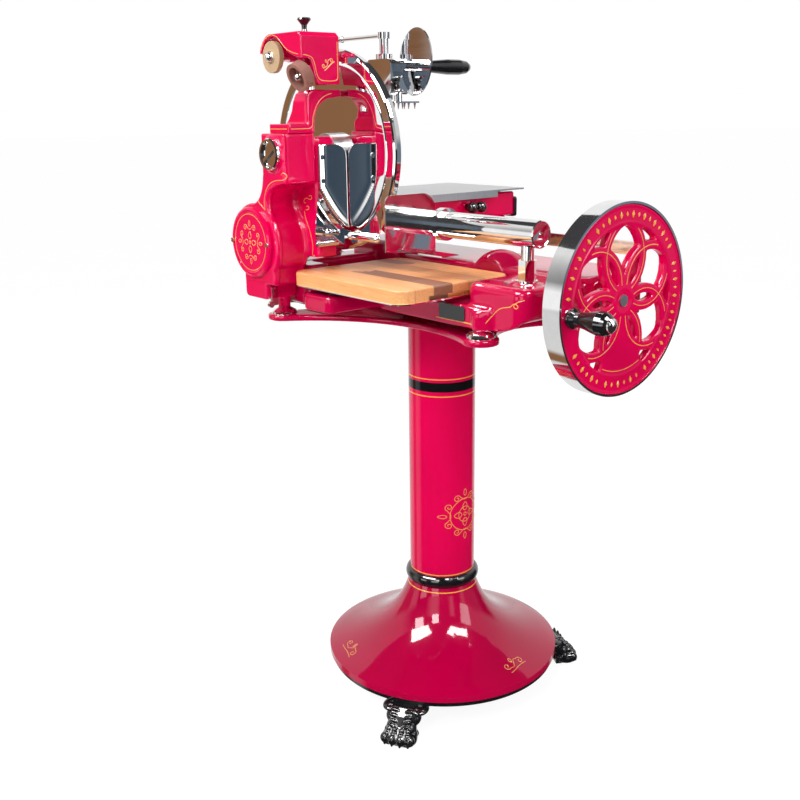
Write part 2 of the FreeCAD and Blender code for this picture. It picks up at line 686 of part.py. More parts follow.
# ---------------------------------------------------------------- gear housing and what it holds
def hull_outline(centre_a, radius_a, centre_b, radius_b, steps):
    """Outline of two circles and the belt stretched around them."""
    lean = math.degrees(math.atan2(centre_b[1] - centre_a[1], centre_b[0] - centre_a[0]))
    reach = math.hypot(centre_b[0] - centre_a[0], centre_b[1] - centre_a[1])
    tilt = math.degrees(math.acos((radius_a - radius_b) / reach))
    first = arc_points(centre_a, radius_a, lean + tilt, lean + 360 - tilt, steps)
    return first + arc_points(centre_b, radius_b, lean - tilt, lean + tilt, steps)


def case_outline(drawn_in):
    """Front outline of the housing as runs of (x, z); its right side can be drawn in to leave a flange."""
    x0, x1 = PILLAR_X
    left, right = SUMP_X[0], IDLER_CENTRE[0] + CASE_LOBE_R + 8 - drawn_in
    top = PILLAR_BOTTOM_Z + 12
    side = [(x1 - 24 - drawn_in, PILLAR_BOTTOM_Z - 3), (x1 - 42 - drawn_in, PILLAR_BOTTOM_Z - 7)]
    side += [(x1 - 58 - drawn_in, PILLAR_BOTTOM_Z - 19)]
    side += [(x1 - 65 - drawn_in, PILLAR_BOTTOM_Z - 38), (x1 - 58 - drawn_in, PILLAR_BOTTOM_Z - 57)]
    side += [
        (x1 - 46 - drawn_in, PILLAR_BOTTOM_Z - 75), (x1 - 38 - drawn_in, PILLAR_BOTTOM_Z - 96),
        (right, PILLAR_BOTTOM_Z - 122),
    ]
    low_right = BOARD_X[0] - 4 - drawn_in
    side += [(right - 2, PILLAR_BOTTOM_Z - 140), (low_right, BOARD_BOTTOM_Z + BOARD_THICK + 4)]
    low_angle = -math.degrees(math.acos((left - IDLER_CENTRE[0]) / CASE_LOBE_R))
    lobe = arc_points(IDLER_CENTRE, CASE_LOBE_R, 360 + low_angle, 92, 12)
    neck = [
        lobe[-1], (x0 - 24, lobe[-1][1] + 5), (x0 - 11, lobe[-1][1] + 18), (x0 - 3, lobe[-1][1] + 35),
        (x0, top),
    ]
    return [
        [(x0, top), (x1 - 9, top)],
        [(x1 - 9, top), (x1 - 9, PILLAR_BOTTOM_Z + 2)],
        [(x1 - 9, PILLAR_BOTTOM_Z + 2), side[0]],
        side,
        [side[-1], (low_right, CASE_BOTTOM_Z)],
        [(low_right, CASE_BOTTOM_Z), (left, CASE_BOTTOM_Z)],
        [(left, CASE_BOTTOM_Z), lobe[0]],
        lobe,
        neck,
    ]


def smooth_prism(runs, low, high):
    """Prism along Y of an outline whose runs of (x, z) are straight with two points and smooth with more."""
    edges = []
    for run in runs:
        points = [V(x, low, z) for x, z in run]
        if len(points) == 2:
            edges.append(Part.makeLine(*points))
        else:
            curve = Part.BSplineCurve()
            curve.interpolate(points)
            edges.append(curve.toShape())
    return Part.Face(Part.Wire(edges)).extrude(V(0, high - low, 0))


def gear_case():
    """Housing of the gears and the chain, with the pillar for the blade's bearing and the sharpener."""
    x0, x1 = PILLAR_X
    front = smooth_prism(case_outline(0), CASE_FRONT_Y, CASE_FRONT_Y + FLANGE_THICK)
    front = softened(
        front, 5, lambda c, e: e.BoundBox.YMax < CASE_FRONT_Y + 0.01 and e.BoundBox.ZMin < PILLAR_BOTTOM_Z
    )
    web = smooth_prism(
        case_outline(FLANGE_PROUD), CASE_FRONT_Y + FLANGE_THICK - SINK, CASE_BACK_Y - 6 + SINK
    )
    back = smooth_prism(case_outline(0), CASE_BACK_Y - 6, CASE_BACK_Y)
    pillar = box((x0, x1), (CASE_FRONT_Y, CASE_BACK_Y), (PILLAR_BOTTOM_Z, PILLAR_TOP_Z))
    pillar = softened(pillar, 7, lambda c, e: e.BoundBox.XLength + e.BoundBox.YLength < 0.01)
    pillar = softened(
        pillar, 3,
        lambda c, e: c.z > PILLAR_TOP_Z - 0.01 or (c.z < PILLAR_BOTTOM_Z + 0.01 and c.x > x1 - 8),
    )
    sump = box(SUMP_X, (CASE_FRONT_Y + 1, CASE_BACK_Y - 2), (SUMP_BOTTOM_Z, CASE_BOTTOM_Z + 12))
    sump = softened(sump, 9, lambda c, e: c.z < SUMP_BOTTOM_Z + 0.01 and e.BoundBox.YLength > 1)
    sump = softened(sump, 3, lambda c, e: e.BoundBox.YMax < CASE_FRONT_Y + 1.01 and c.z < CASE_BOTTOM_Z)
    leg = rod(
        "z", (FOOT_LEFT[0], -FOOT_LEFT[1], LEG_BOTTOM_Z), LEG_RADIUS, SUMP_BOTTOM_Z - LEG_BOTTOM_Z + 12
    )
    shell = box((x0 + 5, x1), (CASE_BACK_Y - SINK, PILLAR_BACK_Y), BACK_SHELL_Z)
    shell = softened(shell, 7, lambda c, e: c.x > x1 - 0.01 or c.z > BACK_SHELL_Z[1] - 0.01)
    chain_reach = CHAIN_THICK + CHAIN_AIR
    chain_wall = 4.5
    belt_low, belt_top = LOW_SPROCKET_R + chain_reach, TOP_SPROCKET_R + chain_reach
    belt = hull_outline(IDLER_CENTRE, belt_low + chain_wall, BLADE_CENTRE, belt_top + chain_wall, 24)
    chain_case = prism("xz", belt, CASE_BACK_Y - SINK, PILLAR_BACK_Y)
    nose = rod("y", (BLADE_X, PILLAR_BACK_Y - SINK, BLADE_Z), 27, BEARING_NOSE_Y - PILLAR_BACK_Y + SINK)
    guard_arm = box((BLADE_X - GUARD_RADIUS, x0 + 20), (-196, PILLAR_BACK_Y), (1084, 1106))
    middle_r = (GUARD_RADIUS + GUARD_INNER_R) / 2
    stud_left = rod(
        "y", (BLADE_X - middle_r, PILLAR_BACK_Y - SINK, BLADE_Z), 6, GUARD_FRONT_Y - PILLAR_BACK_Y + SINK
    )
    stud_low = rod(
        "y", (BLADE_X, PILLAR_BACK_Y - SINK, BLADE_Z - middle_r), 6, GUARD_FRONT_Y - PILLAR_BACK_Y + SINK
    )
    cap_ring = cone("y", (BLADE_X, CASE_FRONT_Y - 3, BLADE_Z), CAP_RADIUS + 2.5, CAP_RADIUS + 6, 4)
    solid = fuse(
        front, web, back, pillar, sump, leg, shell, chain_case, nose,
        guard_arm, stud_left, stud_low, cap_ring,
    )
    gear_reach = GEAR_MODULE + 1.5
    idler_reach = GEAR_MODULE * IDLER_GEAR_TEETH / 2 + gear_reach
    cross_reach = GEAR_MODULE * CROSS_GEAR_TEETH / 2 + gear_reach
    gear_room = hull_outline(IDLER_CENTRE, idler_reach, CROSS_CENTRE, cross_reach, 24)
    chain_room = hull_outline(IDLER_CENTRE, belt_low, BLADE_CENTRE, belt_top, 24)
    holes = [
        prism("xz", gear_room, *GEAR_ROOM_Y),
        prism("xz", chain_room, *CHAIN_ROOM_Y),
        rod(
            "y", (IDLER_CENTRE[0], CASE_FRONT_Y - SINK, IDLER_CENTRE[1]), COVER_OPENING_R,
            CASE_WALL + 2 * SINK,
        ),
        rod(
            "y", (IDLER_CENTRE[0], GEAR_ROOM_Y[1] - SINK, IDLER_CENTRE[1]), IDLER_HUB_R + 1,
            CHAIN_ROOM_Y[0] - GEAR_ROOM_Y[1] + 2 * SINK,
        ),
        rod("y", (BLADE_X, CASE_FRONT_Y - 5, BLADE_Z), CAP_RADIUS - 2, 14),
        rod(
            "y", (BLADE_X, BLADE_SHAFT_START_Y - 8, BLADE_Z), BLADE_SHAFT_R + RUN_GAP,
            BEARING_NOSE_Y - BLADE_SHAFT_START_Y + 8 + SINK,
        ),
        rod(
            "y", (CROSS_X, GEAR_ROOM_Y[1] - SINK, SHAFT_Z), CROSS_BORE_R,
            CASE_BACK_Y - GEAR_ROOM_Y[1] + 2 * SINK,
        ),
        rod("z", (FOOT_LEFT[0], -FOOT_LEFT[1], LEG_BOTTOM_Z - SINK), 5.2, 13 + SINK),
    ]
    for side in (-1, 1):
        place = (IDLER_CENTRE[0] + side * COVER_SCREW_R, CASE_FRONT_Y - SINK, IDLER_CENTRE[1])
        holes.append(rod("y", place, 2.5, CASE_WALL + 2 * SINK))
    for y, z in deflector_screw_places():
        holes.append(rod("x", (x1 - 8, y, z), 2.5, 8 + SINK))
    for hole in holes:
        solid = solid.cut(hole)
    pin_start = GEAR_Y[0] - 8
    pin = rod(
        "y", (IDLER_CENTRE[0], pin_start, IDLER_CENTRE[1]), IDLER_PIN_R,
        CHAIN_ROOM_Y[1] + SINK - pin_start,
    )
    return fuse(solid, pin)


def round_cover():
    r = COVER_RADIUS
    points = [
        (0, 0), (r, 0), (r, 5), (r - 1.5, 7.5), (r - 5, COVER_THICK), (r - 9, COVER_THICK),
        (r - 11, COVER_THICK - 1.2),
    ]
    points += [(0, COVER_THICK - 0.4)]
    disc = turned(points, "y", (0, 0, 0))
    disc.rotate(V(0, 0, 0), V(0, 0, 1), 180)
    plug = rod("y", (0, 0, 0), COVER_OPENING_R - 0.2, 4)
    cover = disc.fuse(plug)
    for side in (-1, 1):
        cover = cover.cut(rod("y", (side * COVER_SCREW_R, -COVER_THICK - 1, 0), 2.7, COVER_THICK + 2))
    cover.translate(V(IDLER_CENTRE[0], CASE_FRONT_Y, IDLER_CENTRE[1]))
    return cover.removeSplitter()


def case_screws():
    """Two screws in the round cover and two in the deflector."""
    top_y = CASE_FRONT_Y - COVER_THICK
    face = DEFLECTOR_X + SHEET
    screws = []
    for side in (-1, 1):
        place = (IDLER_CENTRE[0] + side * COVER_SCREW_R, top_y, IDLER_CENTRE[1])
        screws.append(screw("y", place, 4.5, 2.5, 2.5, COVER_THICK + 5, -1))
    for y, z in deflector_screw_places():
        screws.append(screw("x", (face, y, z), 4.5, 2.5, 2.5, SHEET, 1))
    return group(screws)


def bearing_cap():
    r = CAP_RADIUS
    points = [(0, 1), (r, 1), (r, 6), (r - 2, 9), (r - 6, 9), (r - 8, 6), (r - 8, 4), (0, 4)]
    ring = turned(points, "y", (0, 0, 0))
    ring.rotate(V(0, 0, 0), V(0, 0, 1), 180)
    bar = box((-r + 7, r - 7), (-7.5, -3), (-3, 3))
    plug = rod("y", (0, -2, 0), r - 2.2, 8)
    cap = fuse(ring, bar, plug)
    cap.rotate(V(0, 0, 0), V(0, 1, 0), -35)
    cap.translate(V(BLADE_X, CASE_FRONT_Y - 2, BLADE_Z))
    return cap


def gear(module, teeth, centre, y, backlash, phase):
    outline = gear_outline(module, teeth, backlash, phase)
    return prism("xz", [(centre[0] + a, centre[1] + b) for a, b in outline], *y)


def sprocket(centre, radius, y, count):
    """Chain wheel whose teeth end just under the chain."""
    disc = rod("y", (centre[0], y[0], centre[1]), radius, y[1] - y[0])
    for i in range(count):
        angle = 2 * math.pi * i / count
        place = (
            centre[0] + (radius + 1) * math.cos(angle), y[0] - 1,
            centre[1] + (radius + 1) * math.sin(angle),
        )
        disc = disc.cut(rod("y", place, 3.2, y[1] - y[0] + 2))
    return disc


def chain():
    outer = hull_outline(
        IDLER_CENTRE, LOW_SPROCKET_R + CHAIN_THICK, BLADE_CENTRE, TOP_SPROCKET_R + CHAIN_THICK, 30
    )
    inner = hull_outline(
        IDLER_CENTRE, LOW_SPROCKET_R + FLAT_GAP, BLADE_CENTRE, TOP_SPROCKET_R + FLAT_GAP, 30
    )
    return prism("xz", outer, *CHAIN_Y).cut(prism("xz", inner, CHAIN_Y[0] - 1, CHAIN_Y[1] + 1))


def idler_gear():
    """Big spur gear and lower chain wheel on one hub."""
    x, z = IDLER_CENTRE
    to_cross = math.atan2(CROSS_CENTRE[1] - z, CROSS_CENTRE[0] - x)
    wheel = gear(GEAR_MODULE, IDLER_GEAR_TEETH, IDLER_CENTRE, GEAR_Y, 0.5, to_cross)
    low = sprocket(IDLER_CENTRE, LOW_SPROCKET_R, (CHAIN_Y[0] + 1, CHAIN_Y[1] - 1), 22)
    hub_start = GEAR_Y[0] - 3
    hub = rod("y", (x, hub_start, z), IDLER_HUB_R, CHAIN_ROOM_Y[1] - 2 - hub_start)
    bore = rod("y", (x, hub_start - SINK, z), IDLER_PIN_R + RUN_GAP, CHAIN_ROOM_Y[1] - hub_start + 2 * SINK)
    return fuse(wheel, low, hub).cut(bore)


def cross_shaft():
    to_idler = math.atan2(IDLER_CENTRE[1] - CROSS_CENTRE[1], IDLER_CENTRE[0] - CROSS_CENTRE[0])
    half_tooth = math.pi / CROSS_GEAR_TEETH
    pinion = gear(GEAR_MODULE, CROSS_GEAR_TEETH, CROSS_CENTRE, GEAR_Y, 0.5, to_idler + half_tooth)
    shaft = rod("y", (CROSS_X, GEAR_Y[0] - 10, SHAFT_Z), CROSS_SHAFT_R, SHAFT_Y - 22 - GEAR_Y[0] + 10)
    return fuse(pinion, shaft, bevel_pinion())


def bevel(teeth, mate_teeth, phase, bore, hub_r, hub_length):
    """Straight bevel gear along +Z with its cone's apex at the origin and its back at the pitch height."""
    face = 14.0
    pitch_r = BEVEL_PITCH * teeth / 2
    depth = BEVEL_PITCH * mate_teeth / 2
    ends = []
    for share in (1.0, 1.0 - face / math.hypot(pitch_r, depth)):
        outline = [(a * share, b * share) for a, b in bevel_outline(teeth, phase)]
        points = [V(a, b, depth * share) for a, b in outline]
        ends.append(Part.makePolygon(points + points[:1]))
    teeth_ring = Part.makeLoft(ends, True, True)
    hub = rod("z", (0, 0, depth - SINK), hub_r, hub_length + SINK)
    return fuse(teeth_ring, hub).cut(rod("z", (0, 0, -10), bore, depth + hub_length + 30))


def bevel_outline(teeth, phase):
    pitch_r = BEVEL_PITCH * teeth / 2
    tip = pitch_r + BEVEL_PITCH * 0.55
    root = pitch_r - BEVEL_PITCH * 1.0
    step = 2 * math.pi / teeth
    points = []
    for tooth in range(teeth):
        middle = phase + tooth * step
        for r, share in ((root, -0.29), (tip, -0.13), (tip, 0.13), (root, 0.29)):
            points.append((r * math.cos(middle + share * step), r * math.sin(middle + share * step)))
    return points


def bevel_gear():
    wheel = bevel(BEVEL_BIG_TEETH, BEVEL_SMALL_TEETH, 0.0, SHAFT_RADIUS, 17, 12)
    wheel.rotate(V(0, 0, 0), V(0, 1, 0), 90)
    wheel.translate(V(CROSS_X, SHAFT_Y, SHAFT_Z))
    return wheel


def bevel_pinion():
    wheel = bevel(BEVEL_SMALL_TEETH, BEVEL_BIG_TEETH, math.pi / BEVEL_SMALL_TEETH, CROSS_SHAFT_R, 13, 3)
    wheel.rotate(V(0, 0, 0), V(1, 0, 0), 90)
    wheel.translate(V(CROSS_X, SHAFT_Y, SHAFT_Z))
    return wheel


# ---------------------------------------------------------------- blade, guard and slice plates
def blade():
    r = BLADE_RADIUS
    t = BLADE_THICK
    points = [(BLADE_SHAFT_R, 0), (r, 0), (r, 0.4), (r - 16, t), (BLADE_SHAFT_R, t)]
    disc = turned(points, "y", (BLADE_X, BLADE_FRONT_Y, BLADE_Z))
    for x, y, z in blade_screw_places(BLADE_FRONT_Y):
        disc = disc.cut(rod("y", (x, y - 1, z), 3.0, t + 2))
    return disc


def blade_screw_places(y):
    ring = arc_points(BLADE_CENTRE, BLADE_HUB_R - 8, 45, 315, 3)
    return [(x, y, z) for x, z in ring]


def blade_screws():
    head_y = BLADE_BACK_Y + 2.0
    screws = []
    for x, y, z in blade_screw_places(BLADE_BACK_Y):
        screws.append(screw("y", (x, y, z), 5.0, 2.0, 3.0, BLADE_THICK + 5, 1))
    nut = tube("y", (BLADE_X, BLADE_BACK_Y, BLADE_Z), 14, BLADE_SHAFT_R, head_y - BLADE_BACK_Y + 1)
    return group(screws + [nut])


def blade_shaft():
    """Shaft with its flange for the blade and its chain wheel."""
    start = BLADE_SHAFT_START_Y
    shaft = rod("y", (BLADE_X, start, BLADE_Z), BLADE_SHAFT_R, BLADE_BACK_Y + 3 - start)
    wheel = sprocket(BLADE_CENTRE, TOP_SPROCKET_R, (CHAIN_Y[0] + 1, CHAIN_Y[1] - 1), 10)
    flange = rod(
        "y", (BLADE_X, BEARING_NOSE_Y + FLAT_GAP, BLADE_Z), BLADE_HUB_R,
        BLADE_FRONT_Y - BEARING_NOSE_Y - FLAT_GAP,
    )
    solid = fuse(shaft, wheel, flange)
    for x, _, z in blade_screw_places(0):
        solid = solid.cut(rod("y", (x, BLADE_FRONT_Y - 8, z), 3.0, 9))
    return solid


def blade_guard():
    outer, inner = GUARD_RADIUS, GUARD_INNER_R
    d = GUARD_DEPTH
    points = [
        (inner, 0), (outer - 5, 0), (outer - 1.5, 1.5), (outer, 5), (outer, d), (outer - 3, d),
        (outer - 3, 5),
    ]
    points += [(outer - 5, 3), (inner, 3)]
    ring = turned(points, "y", (BLADE_X, GUARD_FRONT_Y, BLADE_Z))
    x, y, z = GUARD_KNOB
    pad = box((x - 9, x + 9), (y - 9, GUARD_FRONT_Y + 2), (z - 10, z))
    pad = pad.cut(rod("y", (BLADE_X, y - 10, BLADE_Z), inner, 40))
    return fuse(ring, pad).cut(rod("z", (x, y, z - 12), 4.0 + RUN_GAP, 14))


def deflector_foot(lowered):
    """Points along the deflector's lower edge from the pillar's front to the blade, lowered by a gap."""
    y0, y1 = DEFLECTOR_Y
    z0 = DEFLECTOR_Z[0] - lowered
    steps = 12
    return [
        (
            y0 + (y1 - y0) * i / steps, z0 + DEFLECTOR_RISE * (1 - i / steps) ** 1.45
        ) for i in range(steps + 1)
    ]


def deflector():
    """Upright sheet that lifts the slice off the blade, with its top corner rounded near the blade."""
    y0, y1 = DEFLECTOR_Y
    z1 = DEFLECTOR_Z[1]
    corner = 22.0
    outline = [(y0, z1)] + deflector_foot(0) + arc_points((y1 - corner, z1 - corner), corner, 0, 90, 6)
    sheet = prism("yz", outline, DEFLECTOR_X, DEFLECTOR_X + SHEET)
    for y, z in deflector_screw_places():
        sheet = sheet.cut(rod("x", (DEFLECTOR_X - 1, y, z), 2.6, SHEET + 2))
    return sheet


def deflector_screw_places():
    y0 = DEFLECTOR_Y[0]
    return [(y0 + 8, DEFLECTOR_Z[1] - 22), (y0 + 8, DEFLECTOR_Z[0] + 88)]


def lower_plate():
    """Guard sheet before the blade's lowest part, its wing along the pillar's flank and the rolled foot."""
    x0, x1 = LOWER_PLATE_X
    z0, z1 = LOWER_PLATE_Z
    middle = -40.0
    left = [(x0 + (middle - x0) * i / 4, z0 + 8 + 6 * (1 - i / 4) ** 2) for i in range(5)]
    right = [(middle + 70 * i / 8, z0 + 8 + 52 * (i / 8) ** 1.35) for i in range(1, 9)]
    outline = [(x0, z0)] + left + right + [(x1, z1), (x1 - 8, z0 + 16), (x1 - 22, z0)]
    sheet = prism("xz", outline, LOWER_PLATE_Y, LOWER_PLATE_Y + SHEET)
    back_y = LOWER_PLATE_Y + SHEET
    foot = [(y, z) for y, z in deflector_foot(SHEET_GAP) if y < back_y]
    wing_outline = [(WING_FRONT_Y, WING_BOTTOM_Z + ROLL_R), (WING_FRONT_Y, z0 + 12)] + foot
    wing_outline += [
        (back_y, foot[-1][1]), (back_y, WING_BOTTOM_Z), (WING_FRONT_Y + ROLL_LENGTH, WING_BOTTOM_Z)
    ]
    wing = prism("yz", wing_outline, DEFLECTOR_X, DEFLECTOR_X + SHEET)
    roll_x = DEFLECTOR_X + ROLL_R
    roll_z = WING_BOTTOM_Z + ROLL_R
    roll = tube("y", (roll_x, WING_FRONT_Y, roll_z), ROLL_R, ROLL_R - SHEET, ROLL_LENGTH)
    mouth = box(
        (roll_x, roll_x + ROLL_R), (WING_FRONT_Y - 1, WING_FRONT_Y + ROLL_LENGTH + 1),
        (roll_z, roll_z + ROLL_R),
    )
    pads = [
        rod("x", (PILLAR_X[1], y, z0 + 12), 6, DEFLECTOR_X - PILLAR_X[1] + SINK) for y in (-216.0, -194.0)
    ]
    return fuse(sheet, wing, roll.cut(mouth), *pads)


def plate_handle():
    """Round grip bar that lifts the lower plate out."""
    x0 = -36.0
    z = LOWER_PLATE_Z[0] + 3
    y = LOWER_PLATE_Y - 9
    bar = rod("x", (x0, y, z), 7.0, 62)
    knob = fuse(
        rod("x", (x0 - 10, y, z), 5.0, 10 + SINK), ball((x0 - 12, y, z), 7.5), ball((x0 + 62, y, z), 7.0)
    )
    lug = box((x0 + 6, x0 + 46), (y, LOWER_PLATE_Y), (z - 2, z + 2))
    return fuse(bar, knob, lug)


def side_plate():
    """Polished plate across the end of the cut, on a clamp ring around the guide tube."""
    y0, y1 = SIDE_PLATE_Y
    z0, z1 = SIDE_PLATE_Z
    corner = 30.0
    outline = [(y0, z0 + 10), (y1, z0)] + arc_points((y1 - corner, z1 - corner), corner, 0, 90, 6)
    outline += arc_points((y0 + 12, z1 - 12), 12, 90, 180, 4)
    sheet = prism("yz", outline, SIDE_PLATE_X, SIDE_PLATE_X + SHEET)
    foot = box((SIDE_PLATE_X, SIDE_PLATE_X + 62), (y1 - 40, y1), (z0, z0 + SHEET))
    ring = tube("x", (SIDE_PLATE_X - 8, TUBE_Y, TUBE_Z), TUBE_RADIUS + 6, TUBE_RADIUS, 16)
    return fuse(sheet, foot, ring)


# ---------------------------------------------------------------- board, tray and guides
def tray():
    x0, x1 = BOARD_X
    y0, y1 = BOARD_Y
    low = BOARD_BOTTOM_Z - TRAY_THICK
    sheet = rounded(box((x0 - 1, x1 + 1), (y0 - 1, y1 + 1), (low, BOARD_BOTTOM_Z)), 24, "z")
    rests = [
        box((x, x + 24), (SLAB_Y[0] + 12, y1 - 20), (SLAB_TOP_Z, low))
        for x in (SLAB_X[0] + 20, BOARD_X[1] - 60)
    ]
    return fuse(sheet, *rests)


def cutting_board():
    z = (BOARD_BOTTOM_Z, BOARD_BOTTOM_Z + BOARD_THICK)
    board = rounded(box(BOARD_X, BOARD_Y, z), 24, "z")
    board = softened(board, 4, lambda c, e: abs(c.z - z[1]) < 0.01)
    notch = box(
        (BOARD_X[1] - 12, BOARD_X[1] + 1), (BOARD_Y[0] + 62, BOARD_Y[0] + 168), (z[0] - 1, z[0] + 8)
    )
    return board.cut(notch)


def guide_tube():
    return tube("x", (TUBE_X[0], TUBE_Y, TUBE_Z), TUBE_RADIUS, TUBE_RADIUS - 4, TUBE_X[1] - TUBE_X[0])


def tube_cap():
    r = TUBE_RADIUS
    points = [(0, 0), (r, 0), (r, 3), (r - 1.5, 5), (r - 3, 5), (r - 4, 4), (4, 4), (3, 6), (0, 6)]
    plug = rod("x", (TUBE_X[1] - 12, TUBE_Y, TUBE_Z), r - 4.2, 12 + SINK)
    return fuse(turned(points, "x", (TUBE_X[1], TUBE_Y, TUBE_Z)), plug)


def tube_post():
    """Round neck on a hexagon, screwed into the boss, with a seat around the tube."""
    hexagon = arc_points((POST_X, TUBE_Y), 15.5, 0, 300, 5)
    nut = prism("xy", hexagon, BOSS_TOP_Z, 926)
    stem = rod("z", (POST_X, TUBE_Y, 926 - SINK), 11.0, TUBE_Z - 926)
    stud = rod("z", (POST_X, TUBE_Y, BOSS_TOP_Z - 12), 6.8, 12 + SINK)
    flange = rod("z", (POST_X, TUBE_Y, BOSS_TOP_Z), 18.0, 3)
    post = fuse(nut, stem, stud, flange)
    return post.cut(rod("x", (POST_X - 30, TUBE_Y, TUBE_Z), TUBE_RADIUS, 60))


def rear_rail():
    wide, tall = RAIL_SECTION
    return box(RAIL_X, (RAIL_Y - wide / 2, RAIL_Y + wide / 2), (RAIL_Z - tall / 2, RAIL_Z + tall / 2))


# ---------------------------------------------------------------- flywheel
def flywheel_rim():
    return tube("x", (WHEEL_BACK_X, SHAFT_Y, SHAFT_Z), WHEEL_RADIUS, RING_OUTER_R, RIM_WIDTH)


def petal_band(angle, side):
    """Arc band from the hub along one side of a petal and on to the ring, drawn about +Z."""
    turn = math.radians(angle)
    along = PETAL_START_R + PETAL_HALF
    across = side * (ARC_R - PETAL_SAGITTA)
    centre = (
        along * math.cos(turn) - across * math.sin(turn),
        along * math.sin(turn) + across * math.cos(turn),
    )
    ring = tube("z", (centre[0], centre[1], 0), ARC_R + BAND_WIDTH / 2, ARC_R - BAND_WIDTH / 2, WEB_THICK)
    reach = 2.2 * WHEEL_RADIUS
    ahead = angle + side * 48.0
    behind = angle - side * 62.0
    wedge = [(0, 0)] + arc_points((0, 0), reach, ahead, behind, 6)
    return ring.common(prism("xy", wedge, 0, WEB_THICK))


def flywheel():
    """Cast web: ring, six looped petals, the solid fan below the hub and the hub itself."""
    ring = tube("z", (0, 0, 0), RING_OUTER_R, RING_INNER_R, WEB_THICK)
    inside = rod("z", (0, 0, 0), RING_INNER_R + SINK, WEB_THICK)
    bands = []
    for i in range(PETAL_COUNT):
        for side in (-1, 1):
            bands.append(petal_band(i * 360.0 / PETAL_COUNT, side).common(inside))
    fan = [(0, 0)] + arc_points((0, 0), RING_INNER_R + SINK, 270 - FAN_HALF_ANGLE, 270 + FAN_HALF_ANGLE, 12)
    hub = rod("z", (0, 0, -14), HUB_RADIUS, WEB_THICK + 14)
    boss_angle = math.radians(HANDLE_ANGLE)
    boss = rod("z", (HANDLE_R * math.cos(boss_angle), HANDLE_R * math.sin(boss_angle), 0), 18, WEB_THICK)
    web = fuse(ring, hub, prism("xy", fan, 0, WEB_THICK), boss, *bands)
    web = web.cut(rod("z", (0, 0, -20), SHAFT_RADIUS, 60))
    pin_hole = rod(
        "z", (HANDLE_R * math.cos(boss_angle), HANDLE_R * math.sin(boss_angle), -1), 7.0, WEB_THICK + 2
    )
    return upright(web.cut(pin_hole))


def upright(shape):
    """Stand a shape drawn about +Z on the flywheel's axis, its first direction along +Y."""
    matrix = FreeCAD.Matrix(0, 0, 1, WEB_X[0], 1, 0, 0, SHAFT_Y, 0, 1, 0, SHAFT_Z, 0, 0, 0, 1)
    shape.Placement = FreeCAD.Placement(matrix)
    return shape


def handle_centre():
    turn = math.radians(HANDLE_ANGLE)
    return SHAFT_Y + HANDLE_R * math.cos(turn), SHAFT_Z + HANDLE_R * math.sin(turn)


def handle_spindle():
    y, z = handle_centre()
    front = WEB_X[1]
    pin = rod("x", (WEB_X[0], y, z), 7.0, WEB_THICK + HANDLE_LENGTH + 4)
    washer = tube("x", (front, y, z), 15.0, 7.0 - SINK, 2)
    end = rod("x", (front + HANDLE_LENGTH + 2 + FLAT_GAP, y, z), 12.0, 3)
    dome = ball((front + HANDLE_LENGTH - 6, y, z), 16).common(
        rod("x", (front + HANDLE_LENGTH + 4, y, z), 12.0, 20)
    )
    return fuse(pin, washer, end, dome)


def crank_handle():
    y, z = handle_centre()
    bore = 7.0 + RUN_GAP
    shape = [
        (0, 16), (4, 17.5), (10, 17), (16, 13), (24, 12.5), (36, 14.5), (52, 18), (66, 20.5), (78, 19),
        (84, 16), (88, 12.5),
    ]
    scale = (HANDLE_LENGTH - FLAT_GAP) / 88.0
    points = [(bore, 0)] + [(r, x * scale) for x, r in shape] + [(bore, HANDLE_LENGTH - FLAT_GAP)]
    return turned(points, "x", (WEB_X[1] + 2 + FLAT_GAP, y, z))


def flywheel_shaft():
    start = CROSS_X + 18.0
    shaft = rod("x", (start, SHAFT_Y, SHAFT_Z), SHAFT_RADIUS, WEB_X[1] + 1 - start)
    collar = rod(
        "x", (END_WALL_X[1] + FLAT_GAP, SHAFT_Y, SHAFT_Z), 16, WEB_X[0] - 14 - END_WALL_X[1] - FLAT_GAP
    )
    inner_collar = rod("x", (END_WALL_X[0] - 12 - FLAT_GAP, SHAFT_Y, SHAFT_Z), 15, 12)
    return fuse(shaft, collar, inner_collar)


# ---------------------------------------------------------------- carriage, feed and meat table
def carriage():
    x0, x1 = FEED_BOX_X
    sleeves = [
        tube("x", (a, TUBE_Y, TUBE_Z), TUBE_RADIUS + 8, TUBE_RADIUS + RUN_GAP, b - a) for a, b in SLEEVES_X
    ]
    webs = [box((a, b), (TUBE_Y + TUBE_RADIUS + 4, FEED_BOX_Y[0] + 6), CARRIAGE_Z) for a, b in SLEEVES_X]
    deck = rounded(box((x0, x1), (FEED_BOX_Y[0] - 4, RAIL_Y + 24), CARRIAGE_Z), 5, "z")
    rail_top = RAIL_Z + RAIL_SECTION[1] / 2
    half = RAIL_SECTION[0] / 2
    gap = FLAT_GAP
    shoes = []
    for a, b in SLEEVES_X:
        shoe = box((a, b), (RAIL_Y - half - 6, RAIL_Y + half + 6), (rail_top - 16, CARRIAGE_Z[0] + SINK))
        groove = box(
            (a - 1, b + 1), (RAIL_Y - half - gap, RAIL_Y + half + gap), (rail_top - 20, rail_top + gap)
        )
        shoes.append(shoe.cut(groove))
    lug = box((x1 - 14, x1), (FEED_BOX_Y[0] + 30, FEED_BOX_Y[0] + 60), (928, CARRIAGE_Z[0] + SINK))
    return fuse(deck, *sleeves, *webs, *shoes, lug)


